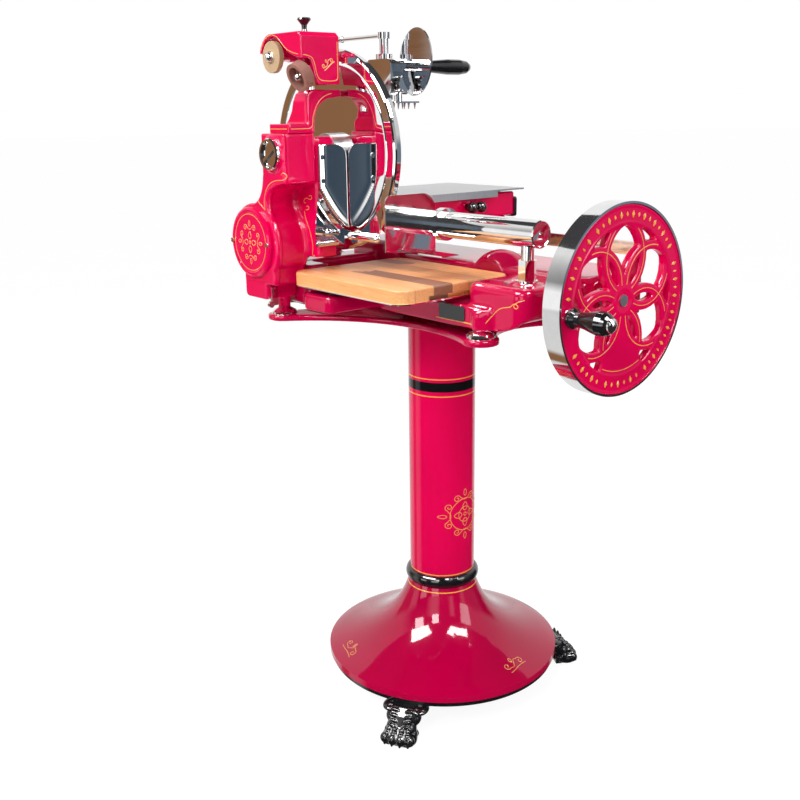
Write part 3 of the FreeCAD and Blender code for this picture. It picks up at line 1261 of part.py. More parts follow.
def feed_box():
    body = rounded(box(FEED_BOX_X, FEED_BOX_Y, (CARRIAGE_Z[1], FEED_BOX_Z[1])), 6, "y")
    room = box(
        (FEED_BOX_X[0] + 6, FEED_BOX_X[1] - 6), (FEED_BOX_Y[0] - 1, FEED_BOX_Y[1] + 1),
        (FEED_BOX_Z[0] + 6, SLIDE_BOTTOM_Z - 6),
    )
    slot_x = (TABLE_SLIDE_X[0] - FLAT_GAP, TABLE_SLIDE_X[1] + FLAT_GAP)
    slot = box(
        slot_x, (FEED_BOX_Y[0] - 1, FEED_BOX_Y[1] + 1), (SLIDE_BOTTOM_Z - SLIDE_GAP, FEED_BOX_Z[1] + 1)
    )
    knob_holes = [rod("x", (FEED_BOX_X[1] - 8, y, KNOB_Z), KNOB_STEM_R + RUN_GAP, 10) for y in KNOB_Y]
    solid = body.cut(room).cut(slot)
    for hole in knob_holes:
        solid = solid.cut(hole)
    return solid


def box_end():
    x0, x1 = FEED_BOX_X
    plate = rounded(
        box(
            (x0 - 2, x1 + 4), (FEED_BOX_Y[1], FEED_BOX_Y[1] + 6),
            (FEED_BOX_Z[0] - 3, FEED_BOX_Z[1] - 10.5),
        ),
        6, "y",
    )
    return plate


def feed_knob(y):
    face = FEED_BOX_X[1]
    stem = rod("x", (face - 6, y, KNOB_Z), KNOB_STEM_R, 14)
    collar = rod("x", (face + FLAT_GAP, y, KNOB_Z), 7, 5)
    return fuse(stem, collar, ball((face + 14, y, KNOB_Z), 11))


def meat_table():
    z = (TABLE_Z, TABLE_Z + TABLE_THICK)
    plate = rounded(box(TABLE_X, TABLE_Y, z), 4, "z")
    lip = box(
        (TABLE_X[1] - 3, TABLE_X[1]), (TABLE_Y[0] + 30, TABLE_Y[1] - 78), (TABLE_Z - 11, TABLE_Z + SINK)
    )
    slide = box(TABLE_SLIDE_X, (FEED_BOX_Y[0], FEED_BOX_Y[1] - 8), (SLIDE_BOTTOM_Z, TABLE_Z + SINK))
    spikes = []
    for row in range(2):
        for i in range(4):
            spikes.append(
                cone(
                    "z", (-100 + 24 * i + 10 * row, TABLE_Y[0] + 16 + 14 * row, z[1] - SINK), 1.8, 0.4, 11
                ),
            )
    return fuse(plate, lip, slide, *spikes)


# ---------------------------------------------------------------- meat press
def press_post():
    post = rod(
        "z", (PRESS_POST_X, PRESS_POST_Y, TABLE_Z + TABLE_THICK), PRESS_POST_R,
        PRESS_POST_TOP_Z - TABLE_Z - TABLE_THICK,
    )
    foot = rod("z", (PRESS_POST_X, PRESS_POST_Y, TABLE_Z + TABLE_THICK), 24, 8)
    cap = rod("z", (PRESS_POST_X, PRESS_POST_Y, PRESS_POST_TOP_Z - 8), 12, 12)
    bar = rod("x", (PRESS_POST_X - 132, PRESS_POST_Y, PRESS_POST_TOP_Z - 2), 4.0, 132)
    tip = rod("x", (PRESS_POST_X - 140, PRESS_POST_Y, PRESS_POST_TOP_Z - 2), 6.0, 9)
    return fuse(post, foot, cap, bar, tip)


def press_block():
    body = rounded(box(PRESS_BLOCK_X, PRESS_BLOCK_Y, PRESS_BLOCK_Z), 10, "y")
    barrel = rod(
        "z", (PRESS_POST_X, PRESS_POST_Y, PRESS_BLOCK_Z[0] - 8), 17,
        PRESS_BLOCK_Z[1] - PRESS_BLOCK_Z[0] + 18,
    )
    arm = rod("y", (PRESS_GUARD[0], PRESS_BLOCK_Y[0] + 20, HANDLE_Z), 9, 26 - PRESS_BLOCK_Y[0] - 20)
    arm_root = box(
        (PRESS_BLOCK_X[1] - 12, PRESS_GUARD[0] + 4), (PRESS_BLOCK_Y[0] + 18, PRESS_BLOCK_Y[1] - 8),
        (HANDLE_Z - 9, HANDLE_Z + 9),
    )
    foot = rod("z", (PRESS_PLATE_CENTRE[0], PRESS_PLATE_CENTRE[1], PRESS_BLOCK_Z[0] - 12), 8, 20)
    whole = fuse(body, barrel, arm, arm_root, foot)
    holes = [
        rod("z", (PRESS_POST_X, PRESS_POST_Y, PRESS_BLOCK_Z[0] - 20), PRESS_POST_R + RUN_GAP, 120),
        rod("x", (PRESS_BLOCK_X[1] - 10, STAR_Y, STAR_Z), 4.0 + RUN_GAP, 11),
    ]
    for hole in holes:
        whole = whole.cut(hole)
    return whole


def press_plate():
    """Toothed plate that holds the meat down, hinged under the block."""
    x, y = PRESS_PLATE_CENTRE
    top = PRESS_BLOCK_Z[0] - 12
    plate = rounded(box((x - 26, x + 26), (y - 36, y + 36), (top - 3, top)), 8, "z")
    spikes = []
    for i in range(3):
        for j in range(3):
            spikes.append(cone("z", (x - 18 + 18 * i, y - 26 + 26 * j, top - 14), 0.6, 3.0, 12))
    return fuse(plate, *spikes)


def hand_guard():
    """Upright oval mirror plate between the press and its handle."""
    x, z = PRESS_GUARD
    oval = Part.Ellipse(V(0, 0, 0), 62.0, 46.0).toShape()
    plate = Part.Face(Part.Wire([oval])).extrude(V(0, 0, 3))
    plate.rotate(V(0, 0, 0), V(0, 0, 1), 90)
    plate.rotate(V(0, 0, 0), V(1, 0, 0), 90)
    plate.rotate(V(0, 0, 0), V(0, 1, 0), 8)
    plate.translate(V(x, 16, z))
    return plate.cut(rod("y", (x, 0, HANDLE_Z), 9.0, 30))


def press_handle():
    x = PRESS_GUARD[0]
    shape = [(0, 9), (4, 10), (30, 11.5), (70, 14.5), (100, 14.5), (118, 12), (126, 8), (130, 3)]
    points = [(0, 0)] + [(r, y) for y, r in shape] + [(0, 130.5)]
    return turned(points, "y", (x, 26, HANDLE_Z))


def star_knob():
    face = PRESS_BLOCK_X[1]
    outline = []
    for i in range(8):
        outline += arc_points(
            (11 * math.cos(math.pi * i / 4), 11 * math.sin(math.pi * i / 4)), 4.5, 45 * i - 80,
            45 * i + 80, 4,
        )
    star = prism("yz", [(STAR_Y + a, STAR_Z + b) for a, b in outline], face + 3, face + 13)
    stem = rod("x", (face - 9, STAR_Y, STAR_Z), 4.0, 14)
    collar = rod("x", (face + FLAT_GAP, STAR_Y, STAR_Z), 8, 4)
    return fuse(star, stem, collar)


# ---------------------------------------------------------------- sharpener
def sharpener_arm():
    """Swan neck that stands on the housing and carries the sharpener over the blade."""
    z0, top = PILLAR_TOP_Z, ARM_TOP_Z
    y_out, y_in = HEAD_PIVOT[1] - 21, HEAD_PIVOT[1] - 3
    reach = BLADE_FRONT_Y - 8
    outer = [(y_out, z0), (y_out, top - 20), (y_out + 3, top - 7), (y_out + 14, top)]
    arch = [
        (y_in, z0), (y_in + 1, z0 + 24), (y_in + 5, z0 + 38), (y_in + 14, z0 + 49), (y_in + 27, z0 + 58),
        (reach, top - 12),
    ]
    neck = prism("yz", outer + [(reach, top)] + arch[::-1], *ARM_X)
    flare = [
        (ARM_X[0] - 10, z0 - 1), (ARM_X[0] - 1, z0 + 16), (ARM_X[0] + 8, z0 + 24), (ARM_X[0] + 18, z0 + 38),
        (ARM_X[0] + 24, z0 + 56), (ARM_X[0] + 31, top + 1), (ARM_X[0] - 10, top + 1),
    ]
    neck = neck.cut(prism("xz", flare, y_out - 1, reach + 1))
    neck = softened(neck, 4, lambda c, e: c.x > ARM_X[1] - 0.01 and c.y < y_out + 0.01)
    plinth = box((ARM_X[0] + 2, ARM_X[1] + 1), (CASE_FRONT_Y + 11, y_in - 6), (z0, z0 + PLINTH_HEIGHT))
    plinth = softened(plinth, 4, lambda c, e: e.BoundBox.ZLength > 1 and c.x < ARM_X[0] + 3 and c.y < y_out)
    boss = rod("z", (HEAD_PIVOT[0], HEAD_PIVOT[1], top - 26), 15, 26)
    bore = rod("z", (HEAD_PIVOT[0], HEAD_PIVOT[1], top - 40), SPINDLE_R + RUN_GAP, 80)
    return fuse(neck, plinth, boss).cut(bore)


def sharpener_spindle():
    x, y = HEAD_PIVOT
    low = ARM_TOP_Z - 38
    shaft = rod("z", (x, y, low), SPINDLE_R, HOOD_TOP_Z + 2 - low)
    collar = rod("z", (x, y, ARM_TOP_Z), 14, 6)
    return fuse(shaft, collar)


def sharpener_hood():
    """Cover of the two stones: a roof that curls round the flat stone, a back wall and one side wall."""
    x0, x1 = HOOD_X
    y0, y1 = HOOD_Y
    low, top = HOOD_BOTTOM_Z, HOOD_TOP_Z
    curl = arc_points(FLAT_STONE, STONE_RADIUS + 13, 172, 104, 6)
    outer = curl + [
        (FLAT_STONE[0] + 20, top), (x1 - 8, top), (x1, top - 7), (x1, low), (x1 - 40, low),
        (curl[0][0], low),
    ]
    body = prism("xz", outer, y0, y1)
    room_curl = arc_points(FLAT_STONE, STONE_RADIUS + 13 - HEAD_WALL, 172, 104, 6)
    room = [(x0 - 20, low - 1), (x0 - 20, room_curl[0][1])] + room_curl
    room += [
        (FLAT_STONE[0] + 20, top - HEAD_WALL), (x1 - HEAD_WALL - 6, top - HEAD_WALL),
        (x1 - HEAD_WALL, top - HEAD_WALL - 7),
    ]
    room += [(x1 - HEAD_WALL, low - 1)]
    front = [(x0 - 20, low - 1), (x0 - 20, FLAT_STONE[1] + 8)] + arc_points(
        FLAT_STONE, STONE_RADIUS + 7, 168, 48, 9
    )
    front += [
        (FLAT_STONE[0] + 53, FLAT_STONE[1] + 4), (x1 - 13, FLAT_STONE[1] - 3),
        (x1 + 1, FLAT_STONE[1] - 5), (x1 + 1, low - 1),
    ]
    cheek = [
        (y0 - 1, low + 43), (y0 + 6, low + 43), (y0 + 19, low + 42), (y0 + 24, low + 30),
        (y0 + 27, low + 14), (y0 + 36, low), (y0 + 36, low - 1),
    ]
    cheek += [(y0 - 1, low - 1)]
    back_cut = prism(
        "xz",
        [
            (x0 - 20, low - 1), (x0 - 20, top - 10), (HEAD_PIVOT[0] - 30, top - 40),
            (HEAD_PIVOT[0] - 18, low - 1),
        ],
        y1 - 5, y1 + 1,
    )
    solid = body.cut(prism("xz", room, y0 + HEAD_WALL, y1 - HEAD_WALL)).cut(
        prism("xz", front, y0 - 1, y0 + HEAD_WALL + 1)
    )
    solid = solid.cut(prism("yz", cheek, x1 - HEAD_WALL - 1, x1 + 1)).cut(back_cut)
    hub_low = ARM_TOP_Z + 6 + FLAT_GAP
    hub = rod("z", (HEAD_PIVOT[0], HEAD_PIVOT[1], hub_low), 13, top - 2 - hub_low)
    bar_y = (HEAD_PIVOT[1] - 10, HEAD_PIVOT[1] + 8)
    flat_bar = box((FLAT_STONE[0] - 8, HEAD_PIVOT[0] + 3), bar_y, (FLAT_STONE[1] - 8, FLAT_STONE[1] + 8))
    cup_back = cup_place(CUP_DEPTH + 8)
    cup_bar = box(
        (HEAD_PIVOT[0] - 2, CUP_STONE[0] + 8), (cup_back[1] - 7, HEAD_PIVOT[1] + 6),
        (cup_back[2] - 9, cup_back[2] + 9),
    )
    solid = solid.fuse(hub).fuse(flat_bar).fuse(cup_bar)
    bores = [
        rod("z", (HEAD_PIVOT[0], HEAD_PIVOT[1], low - 10), SPINDLE_R + RUN_GAP, 200),
        rod("y", (FLAT_STONE[0], HEAD_PIVOT[1] - 20, FLAT_STONE[1]), STONE_PIN_R + RUN_GAP, 60),
        on_cup_axis(rod("y", (0, CUP_DEPTH - 2, 0), STONE_PIN_R + RUN_GAP, 60)),
        on_cup_axis(rod("y", (0, -10, 0), CUP_RADIUS + 2, CUP_DEPTH + 12)),
    ]
    for bore in bores:
        solid = solid.cut(bore)
    return solid.removeSplitter()


def on_cup_axis(shape):
    """Turn a shape built along Y from the cup's rim into the cup's leaning axis."""
    shape.rotate(V(0, 0, 0), V(1, 0, 0), CUP_TILT)
    shape.translate(V(CUP_STONE[0], CUP_FRONT_Y, CUP_STONE[1]))
    return shape


def cup_place(depth):
    """Point on the cup's axis, a depth behind its rim."""
    lean = math.radians(CUP_TILT)
    return (CUP_STONE[0], CUP_FRONT_Y + depth * math.cos(lean), CUP_STONE[1] + depth * math.sin(lean))


def grinding_stone():
    x, z = FLAT_STONE
    return tube(
        "y", (x, FLAT_STONE_Y[0], z), STONE_RADIUS, STONE_PIN_R + 6, FLAT_STONE_Y[1] - FLAT_STONE_Y[0]
    )


def grinding_spindle():
    """Pin of the flat stone with the hub that fills the stone's bore."""
    x, z = FLAT_STONE
    start = FLAT_STONE_Y[0] - 3
    bar_y = HEAD_PIVOT[1] - 10
    pin = rod("y", (x, start - 2, z), STONE_PIN_R, HEAD_PIVOT[1] + 12 - start + 2)
    hub = rod("y", (x, start, z), STONE_PIN_R + 6, FLAT_STONE_Y[1] - start)
    boss = rod(
        "y", (x, FLAT_STONE_Y[1] - SINK, z), STONE_PIN_R + 3, bar_y - FLAT_GAP - FLAT_STONE_Y[1] + SINK
    )
    clip = rod("y", (x, HEAD_PIVOT[1] + 8 + FLAT_GAP, z), 7.0, 4 - FLAT_GAP)
    return fuse(pin, hub, boss, clip)


def honing_spindle():
    """Leaning pin of the cup stone with its hub."""
    pin = rod("y", (0, CUP_WALL - 2, 0), STONE_PIN_R, CUP_DEPTH + 14)
    hub = cone("y", (0, CUP_WALL, 0), STONE_PIN_R + 3, STONE_PIN_R + 5, CUP_DEPTH - 2 * CUP_WALL)
    return on_cup_axis(fuse(pin, hub))


def honing_stone():
    r, depth, wall = CUP_RADIUS, CUP_DEPTH, CUP_WALL
    bore = STONE_PIN_R
    points = [
        (bore, depth), (bore, depth - wall), (r - wall, depth - wall), (r - wall, 0), (r, 0),
        (r, depth - 4), (r - 4, depth),
    ]
    return on_cup_axis(turned(points, "y", (0, 0, 0)))


def lift_knob():
    x, y = HEAD_PIVOT
    points = [(0, 0), (6, 0), (4.5, 5), (5, 12), (10, 18), (12.5, 21), (11, 24), (4, 25), (0, 25)]
    return turned(points, "z", (x, y, HOOD_TOP_Z + 2))


def guard_knob():
    x, y, z = GUARD_KNOB
    stem = rod("z", (x, y, z - 9), 4.0, 9 + 4)
    points = [(0, 0), (10, 0), (12, 1.5), (12, 5), (10, 6.5), (0, 6.5)]
    return fuse(stem, turned(points, "z", (x, y, z + FLAT_GAP)))


def hold_down_hook():
    x, y = SUMP_X[1], CASE_FRONT_Y + 14
    z = CASE_BOTTOM_Z - 12
    pivot = rod("x", (x, y, z), 5.0, 9)
    lever = rounded(box((x + 1, x + 7), (y - 7, y + 7), (z - 28, z + 8)), 3, "x")
    hook = rod("x", (x + 1, y - 8, z - 26), 6.0, 6)
    return fuse(pivot, lever, hook)


# ---------------------------------------------------------------- the finished set of pieces
PIECES = {
    "pedestal_base": pedestal_base,
    "under_ring": under_ring,
    "lion_paws": lambda: around_column(lion_paw),
    "paw_bolts": lambda: around_column(paw_bolt),
    "column": column,
    "column_bead": column_bead,
    "tie_bolt": tie_bolt,
    "top_plate": top_plate,
    "machine_feet": machine_feet,
    "machine_base": machine_base,
    "front_panel": front_panel,
    "gear_case": gear_case,
    "round_cover": round_cover,
    "case_screws": case_screws,
    "bearing_cap": bearing_cap,
    "drive_chain": chain,
    "idler_gear": idler_gear,
    "cross_shaft": cross_shaft,
    "bevel_gear": bevel_gear,
    "blade": blade,
    "blade_screws": blade_screws,
    "blade_shaft": blade_shaft,
    "blade_guard": blade_guard,
    "guard_knob": guard_knob,
    "deflector": deflector,
    "lower_plate": lower_plate,
    "plate_handle": plate_handle,
    "side_plate": side_plate,
    "tray": tray,
    "cutting_board": cutting_board,
    "guide_tube": guide_tube,
    "tube_cap": tube_cap,
    "tube_post": tube_post,
    "rear_rail": rear_rail,
    "flywheel_rim": flywheel_rim,
    "flywheel": flywheel,
    "flywheel_shaft": flywheel_shaft,
    "handle_spindle": handle_spindle,
    "crank_handle": crank_handle,
    "carriage": carriage,
    "feed_box": feed_box,
    "box_end": box_end,
    "feed_knob_near": lambda: feed_knob(KNOB_Y[0]),
    "feed_knob_far": lambda: feed_knob(KNOB_Y[1]),
    "meat_table": meat_table,
    "press_post": press_post,
    "press_block": press_block,
    "press_plate": press_plate,
    "hand_guard": hand_guard,
    "press_handle": press_handle,
    "star_knob": star_knob,
    "sharpener_arm": sharpener_arm,
    "sharpener_spindle": sharpener_spindle,
    "sharpener_hood": sharpener_hood,
    "grinding_stone": grinding_stone,
    "grinding_spindle": grinding_spindle,
    "honing_stone": honing_stone,
    "honing_spindle": honing_spindle,
    "lift_knob": lift_knob,
    "hold_down_hook": hold_down_hook,
}

os.makedirs("parts", exist_ok=True)
for piece_name, make_piece in PIECES.items():
    save(piece_name, make_piece())
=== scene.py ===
import bpy
import math
from mathutils import Euler, Matrix, Vector
from mathutils.bvhtree import BVHTree


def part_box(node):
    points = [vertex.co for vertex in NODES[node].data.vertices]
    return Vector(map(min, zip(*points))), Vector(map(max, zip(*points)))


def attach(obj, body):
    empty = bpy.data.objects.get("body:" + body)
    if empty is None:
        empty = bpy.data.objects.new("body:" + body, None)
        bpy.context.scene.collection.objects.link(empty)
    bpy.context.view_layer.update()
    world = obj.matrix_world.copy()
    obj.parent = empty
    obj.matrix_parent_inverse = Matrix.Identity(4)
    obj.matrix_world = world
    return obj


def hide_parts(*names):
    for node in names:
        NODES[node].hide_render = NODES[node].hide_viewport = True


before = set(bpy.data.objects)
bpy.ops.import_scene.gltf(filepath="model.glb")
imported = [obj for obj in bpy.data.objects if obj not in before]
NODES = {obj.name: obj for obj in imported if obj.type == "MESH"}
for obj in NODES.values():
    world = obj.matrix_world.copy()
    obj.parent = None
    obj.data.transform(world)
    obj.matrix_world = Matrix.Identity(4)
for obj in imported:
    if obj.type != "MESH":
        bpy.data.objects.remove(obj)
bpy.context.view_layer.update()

bl_info = {
    "name": "Hand crank meat slicer",
    "version": (1, 0, 0),
    "blender": (4, 5, 0),
    "location": "View3D > Sidebar > Slicer",
    "description": "Finishes and fine pieces of a free-standing hand crank meat slicer",
    "category": "Add Mesh",
}

MM = 0.001


# ---------------------------------------------------------------- sizes and colours
class SlicerColours(bpy.types.PropertyGroup):
    enamel: bpy.props.FloatVectorProperty(
        name="Enamel", description="Stoving enamel of the castings", subtype="COLOR", size=3,
        default=(0.72, 0.0, 0.075), min=0, max=1,
    )
    stripe: bpy.props.FloatVectorProperty(
        name="Pinstripe", description="Painted lines and scrolls", subtype="COLOR", size=3,
        default=(0.95, 0.45, 0.06), min=0, max=1,
    )
    black: bpy.props.FloatVectorProperty(
        name="Black", description="Gloss black of the paws, bead and handles", subtype="COLOR", size=3,
        default=(0.006, 0.006, 0.007), min=0, max=1,
    )
    light_wood: bpy.props.FloatVectorProperty(
        name="Light wood", description="Pale strips of the board", subtype="COLOR", size=3,
        default=(0.95, 0.44, 0.16), min=0, max=1,
    )
    dark_wood: bpy.props.FloatVectorProperty(
        name="Dark wood", description="Dark strips of the board", subtype="COLOR", size=3,
        default=(0.30, 0.12, 0.06), min=0, max=1,
    )


class SlicerSizes(bpy.types.PropertyGroup):
    stripe_width: bpy.props.FloatProperty(
        name="Pinstripe width", description="Width of a painted line", default=0.0020, unit="LENGTH",
    )
    stripe_proud: bpy.props.FloatProperty(
        name="Pinstripe height", description="How far a painted line stands off the enamel",
        default=0.00035, unit="LENGTH",
    )


# ---------------------------------------------------------------- shader helpers
NOISE_SPAN = (0.3, 0.7)        # a noise texture mostly keeps between these values


class Shader:
    """A material with a few short ways to add and link nodes."""

    def __init__(self, name):
        self.material = bpy.data.materials.new(name)
        self.material.use_nodes = True
        self.tree = self.material.node_tree
        self.bsdf = self.tree.nodes["Principled BSDF"]

    def node(self, kind, **values):
        node = self.tree.nodes.new("ShaderNode" + kind)
        for key, value in values.items():
            setattr(node, key, value)
        return node

    def link(self, source, target):
        self.tree.links.new(source, target)

    def feed(self, socket, value):
        """Set an input to a number or a colour, or link an output to it."""
        if isinstance(value, (int, float)):
            socket.default_value = value
        elif isinstance(value, (tuple, list)):
            socket.default_value = (*value, 1.0)
        else:
            self.link(value, socket)

    def math(self, operation, *values):
        node = self.node("Math", operation=operation)
        for socket, value in zip(node.inputs, values):
            self.feed(socket, value)
        return node.outputs[0]

    def place(self):
        """Object coordinates as a socket, which are metres in the machine's own frame."""
        return self.node("TexCoord").outputs["Object"]

    def parts(self):
        split = self.node("SeparateXYZ")
        self.link(self.place(), split.inputs[0])
        return split.outputs

    def mapped(self, scale):
        mapping = self.node("Mapping")
        mapping.inputs["Scale"].default_value = scale
        self.link(self.place(), mapping.inputs["Vector"])
        return mapping.outputs[0]

    def noise(self, vector, scale, detail=3.0, roughness=0.5, distortion=0.0):
        noise = self.node("TexNoise")
        noise.inputs["Scale"].default_value = scale
        noise.inputs["Detail"].default_value = detail
        noise.inputs["Roughness"].default_value = roughness
        noise.inputs["Distortion"].default_value = distortion
        self.link(vector, noise.inputs["Vector"])
        return noise.outputs["Fac"]

    def ramp(self, value, stops, constant=False):
        ramp = self.node("ValToRGB")
        ramp.color_ramp.interpolation = "CONSTANT" if constant else "LINEAR"
        elements = ramp.color_ramp.elements
        while len(elements) < len(stops):
            elements.new(1.0)
        for element, (position, colour) in zip(elements, stops):
            element.position = position
            element.color = (*colour, 1.0)
        self.link(value, ramp.inputs[0])
        return ramp.outputs["Color"]

    def mix(self, factor, first, second, blend="MIX"):
        mix = self.node("Mix", data_type="RGBA", blend_type=blend)
        for index, value in zip((0, 6, 7), (factor, first, second)):
            self.feed(mix.inputs[index], value)
        return mix.outputs[2]

    def range(self, value, low, high, to_low=0.0, to_high=1.0):
        node = self.node("MapRange")
        for index, number in zip((1, 2, 3, 4), (low, high, to_low, to_high)):
            node.inputs[index].default_value = number
        self.link(value, node.inputs[0])
        return node.outputs[0]

    def vary(self, noise, low, high):
        """A number that wanders between two values with a noise."""
        return self.range(noise, *NOISE_SPAN, low, high)

    def tint(self, noise, first, second):
        """A colour that wanders between two colours with a noise."""
        return self.ramp(noise, list(zip(NOISE_SPAN, (first, second))))

    def band(self, value, low, high):
        """1 between two places along a coordinate, 0 elsewhere."""
        above = self.math("GREATER_THAN", value, low)
        below = self.math("LESS_THAN", value, high)
        return self.math("MULTIPLY", above, below)

    def any_of(self, masks):
        total = masks[0]
        for mask in masks[1:]:
            total = self.math("MAXIMUM", total, mask)
        return total

    def bump(self, height, strength, distance):
        bump = self.node("Bump")
        bump.inputs["Strength"].default_value = strength
        bump.inputs["Distance"].default_value = distance
        self.link(height, bump.inputs["Height"])
        self.link(bump.outputs[0], self.bsdf.inputs["Normal"])

    def set(self, **values):
        for key, value in values.items():
            self.feed(self.bsdf.inputs[key.replace("_", " ")], value)


def colours():
    return bpy.context.scene.slicer_colours


def sizes():
    return bpy.context.scene.slicer_sizes


def scaled(colour, factor):
    return tuple(min(1.0, c * factor) for c in colour)


def grey(level):
    return (level, level, level)


# ---------------------------------------------------------------- paints, metals, stones and wood
def paint_finish(shader):
    """Gloss, flow marks and faint unevenness of stoved enamel."""
    place = shader.place()
    shader.bump(shader.noise(place, scale=14.0, detail=2.0), strength=0.04, distance=0.002)
    dust = shader.noise(place, scale=120.0, detail=4.0)
    shader.set(Roughness=shader.vary(dust, 0.10, 0.17))
    shader.set(Coat_Weight=0.75, Coat_Roughness=0.03, Specular_IOR_Level=0.08)


def enamel_colour(shader, depth):
    # depth below 1 darkens the whole enamel; the script uses that only as painted shade
    base = scaled(tuple(colours().enamel), depth)
    tone = shader.noise(shader.place(), scale=6.0, detail=2.0)
    return shader.tint(tone, scaled(base, 0.93), scaled(base, 1.06))


def enamel(name="enamel", depth=1.0):
    shader = Shader(name)
    shader.set(Base_Color=enamel_colour(shader, depth))
    paint_finish(shader)
    return shader.material


def banded_enamel(name, stripes, black_bands, depth=1.0):
    """Enamel with level painted rings at given heights, and black bands between two heights."""
    shader = Shader(name)
    height = shader.parts()[2]
    half = sizes().stripe_width / 2
    colour = enamel_colour(shader, depth)
    if black_bands:
        mask = shader.any_of([shader.band(height, low, high) for low, high in black_bands])
        colour = shader.mix(mask, colour, tuple(colours().black))
    mask = shader.any_of([shader.band(height, z - half, z + half) for z in stripes])
    colour = shader.mix(mask, colour, tuple(colours().stripe))
    shader.set(Base_Color=colour)
    paint_finish(shader)
    return shader.material


def gloss_black():
    shader = Shader("gloss_black")
    dust = shader.noise(shader.place(), scale=90.0, detail=4.0)
    base = tuple(colours().black)
    shader.set(Base_Color=shader.ramp(dust, [(0.3, base), (0.75, scaled(base, 2.2))]))
    shader.set(Roughness=shader.vary(dust, 0.08, 0.16), Coat_Weight=0.6, Coat_Roughness=0.05)
    return shader.material


def stripe_paint():
    shader = Shader("stripe_paint")
    dust = shader.noise(shader.place(), scale=300.0)
    base = tuple(colours().stripe)
    shader.set(Base_Color=shader.tint(dust, scaled(base, 0.85), base))
    shader.set(Roughness=0.3, Coat_Weight=0.7, Coat_Roughness=0.05)
    return shader.material


def chrome():
    shader = Shader("chrome")
    smear = shader.noise(shader.place(), scale=40.0)
    shader.set(Base_Color=shader.tint(smear, (0.87, 0.865, 0.86), grey(0.93)))
    shader.set(Metallic=1.0, Roughness=shader.vary(smear, 0.035, 0.08))
    return shader.material


def mirror_steel():
    shader = Shader("mirror_steel")
    smear = shader.noise(shader.mapped((1.0, 1.0, 6.0)), scale=12.0)
    shader.set(Base_Color=shader.tint(smear, (0.70, 0.70, 0.72), (0.78, 0.78, 0.80)))
    shader.set(Metallic=1.0, Roughness=shader.vary(smear, 0.03, 0.06))
    return shader.material


def ground_steel(name, stretch, low, high):
    """Steel with fine grinding lines along the axis that is stretched least, between two roughnesses."""
    shader = Shader(name)
    lines = shader.noise(shader.mapped(stretch), scale=60.0, detail=6.0, roughness=0.7)
    shader.set(Base_Color=shader.ramp(lines, [(0.25, (0.50, 0.50, 0.51)), (0.75, (0.68, 0.68, 0.69))]))
    shader.set(Metallic=1.0, Roughness=shader.range(lines, 0.2, 0.8, low, high))
    shader.bump(lines, strength=0.05, distance=0.0005)
    return shader.material


def stone(name, base, grain):
    shader = Shader(name)
    grit = shader.noise(shader.place(), scale=grain, detail=6.0, roughness=0.8)
    shader.set(Base_Color=shader.tint(grit, scaled(base, 0.75), scaled(base, 1.15)), Roughness=0.9)
    shader.bump(grit, strength=0.5, distance=0.0006)
    return shader.material


BOARD_STRIPS = (
    # where a strip starts (0 at the board's -Y edge, 1 at its +Y edge), its wood, its depth of colour
    (0.0, "light", 1.0), (0.13, "light", 0.9), (0.29, "dark", 1.0), (0.45, "light", 0.97),
    (0.60, "light", 0.84), (0.75, "light", 1.05), (0.88, "light", 1.0),
)
BOARD_PATCHES = (
    # start and end of a strip, X below which another wood takes over (m), that wood, its depth of colour
    (0.29, 0.45, 0.035, "light", 0.92),
    (0.75, 0.88, 0.020, "dark", 1.5),
)
BOARD_BEND = 0.0015            # how far the glued joints wander
BOARD_TONGUE = 0.12            # how far the ends of the patches reach into each other's wood
BOARD_JOINT = 0.0006           # half the width of a joint


def board_wood():
    """Glued strips that run along X, some of them dark, with grain, pores and darker joints."""
    shader = Shader("board_wood")
    woods = {"light": tuple(colours().light_wood), "dark": tuple(colours().dark_wood)}
    x, y, _ = shader.parts()
    low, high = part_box("cutting_board")
    bend = shader.noise(shader.mapped((2.0, 0.0, 0.0)), scale=2.0, detail=1.0)
    bent = shader.math("ADD", y, shader.math("MULTIPLY", bend, BOARD_BEND))
    across = shader.range(bent, low.y, high.y)
    strips = [(place, scaled(woods[wood], depth)) for place, wood, depth in BOARD_STRIPS]
    colour = shader.ramp(across, strips, constant=True)
    tongue = shader.noise(shader.mapped((6.0, 22.0, 3.0)), scale=1.6)
    along = shader.math("ADD", x, shader.math("MULTIPLY", tongue, BOARD_TONGUE))
    for start, end, reach, wood, depth in BOARD_PATCHES:
        near = shader.math("LESS_THAN", along, reach)
        patch = shader.math("MULTIPLY", shader.band(across, start, end), near)
        colour = shader.mix(patch, colour, scaled(woods[wood], depth))
    stretched = shader.mapped((3.0, 70.0, 70.0))
    grain = shader.noise(stretched, scale=5.0, detail=8.0, roughness=0.65, distortion=0.6)
    figure = shader.ramp(grain, [(0.35, (0.55, 0.50, 0.46)), (0.62, grey(1.0))])
    colour = shader.mix(0.55, colour, figure, "MULTIPLY")
    half = BOARD_JOINT / (high.y - low.y)
    places = [place for place, _, _ in BOARD_STRIPS[1:]]
    joints = shader.any_of([shader.band(across, place - half, place + half) for place in places])
    colour = shader.mix(shader.math("MULTIPLY", joints, 0.6), colour, scaled(woods["dark"], 0.5))
    shader.set(Base_Color=colour, Roughness=shader.vary(grain, 0.38, 0.55))
    shader.set(Coat_Weight=0.15, Coat_Roughness=0.3)
    shader.bump(grain, strength=0.12, distance=0.0006)
    return shader.material


# ---------------------------------------------------------------- dressing the CAD nodes
def dress(material, *names):
    """Give CAD nodes or new pieces one material over their whole surface."""
    for name in names:
        piece = NODES.get(name) or bpy.data.objects[name]
        piece.data.materials.clear()
        piece.data.materials.append(material)


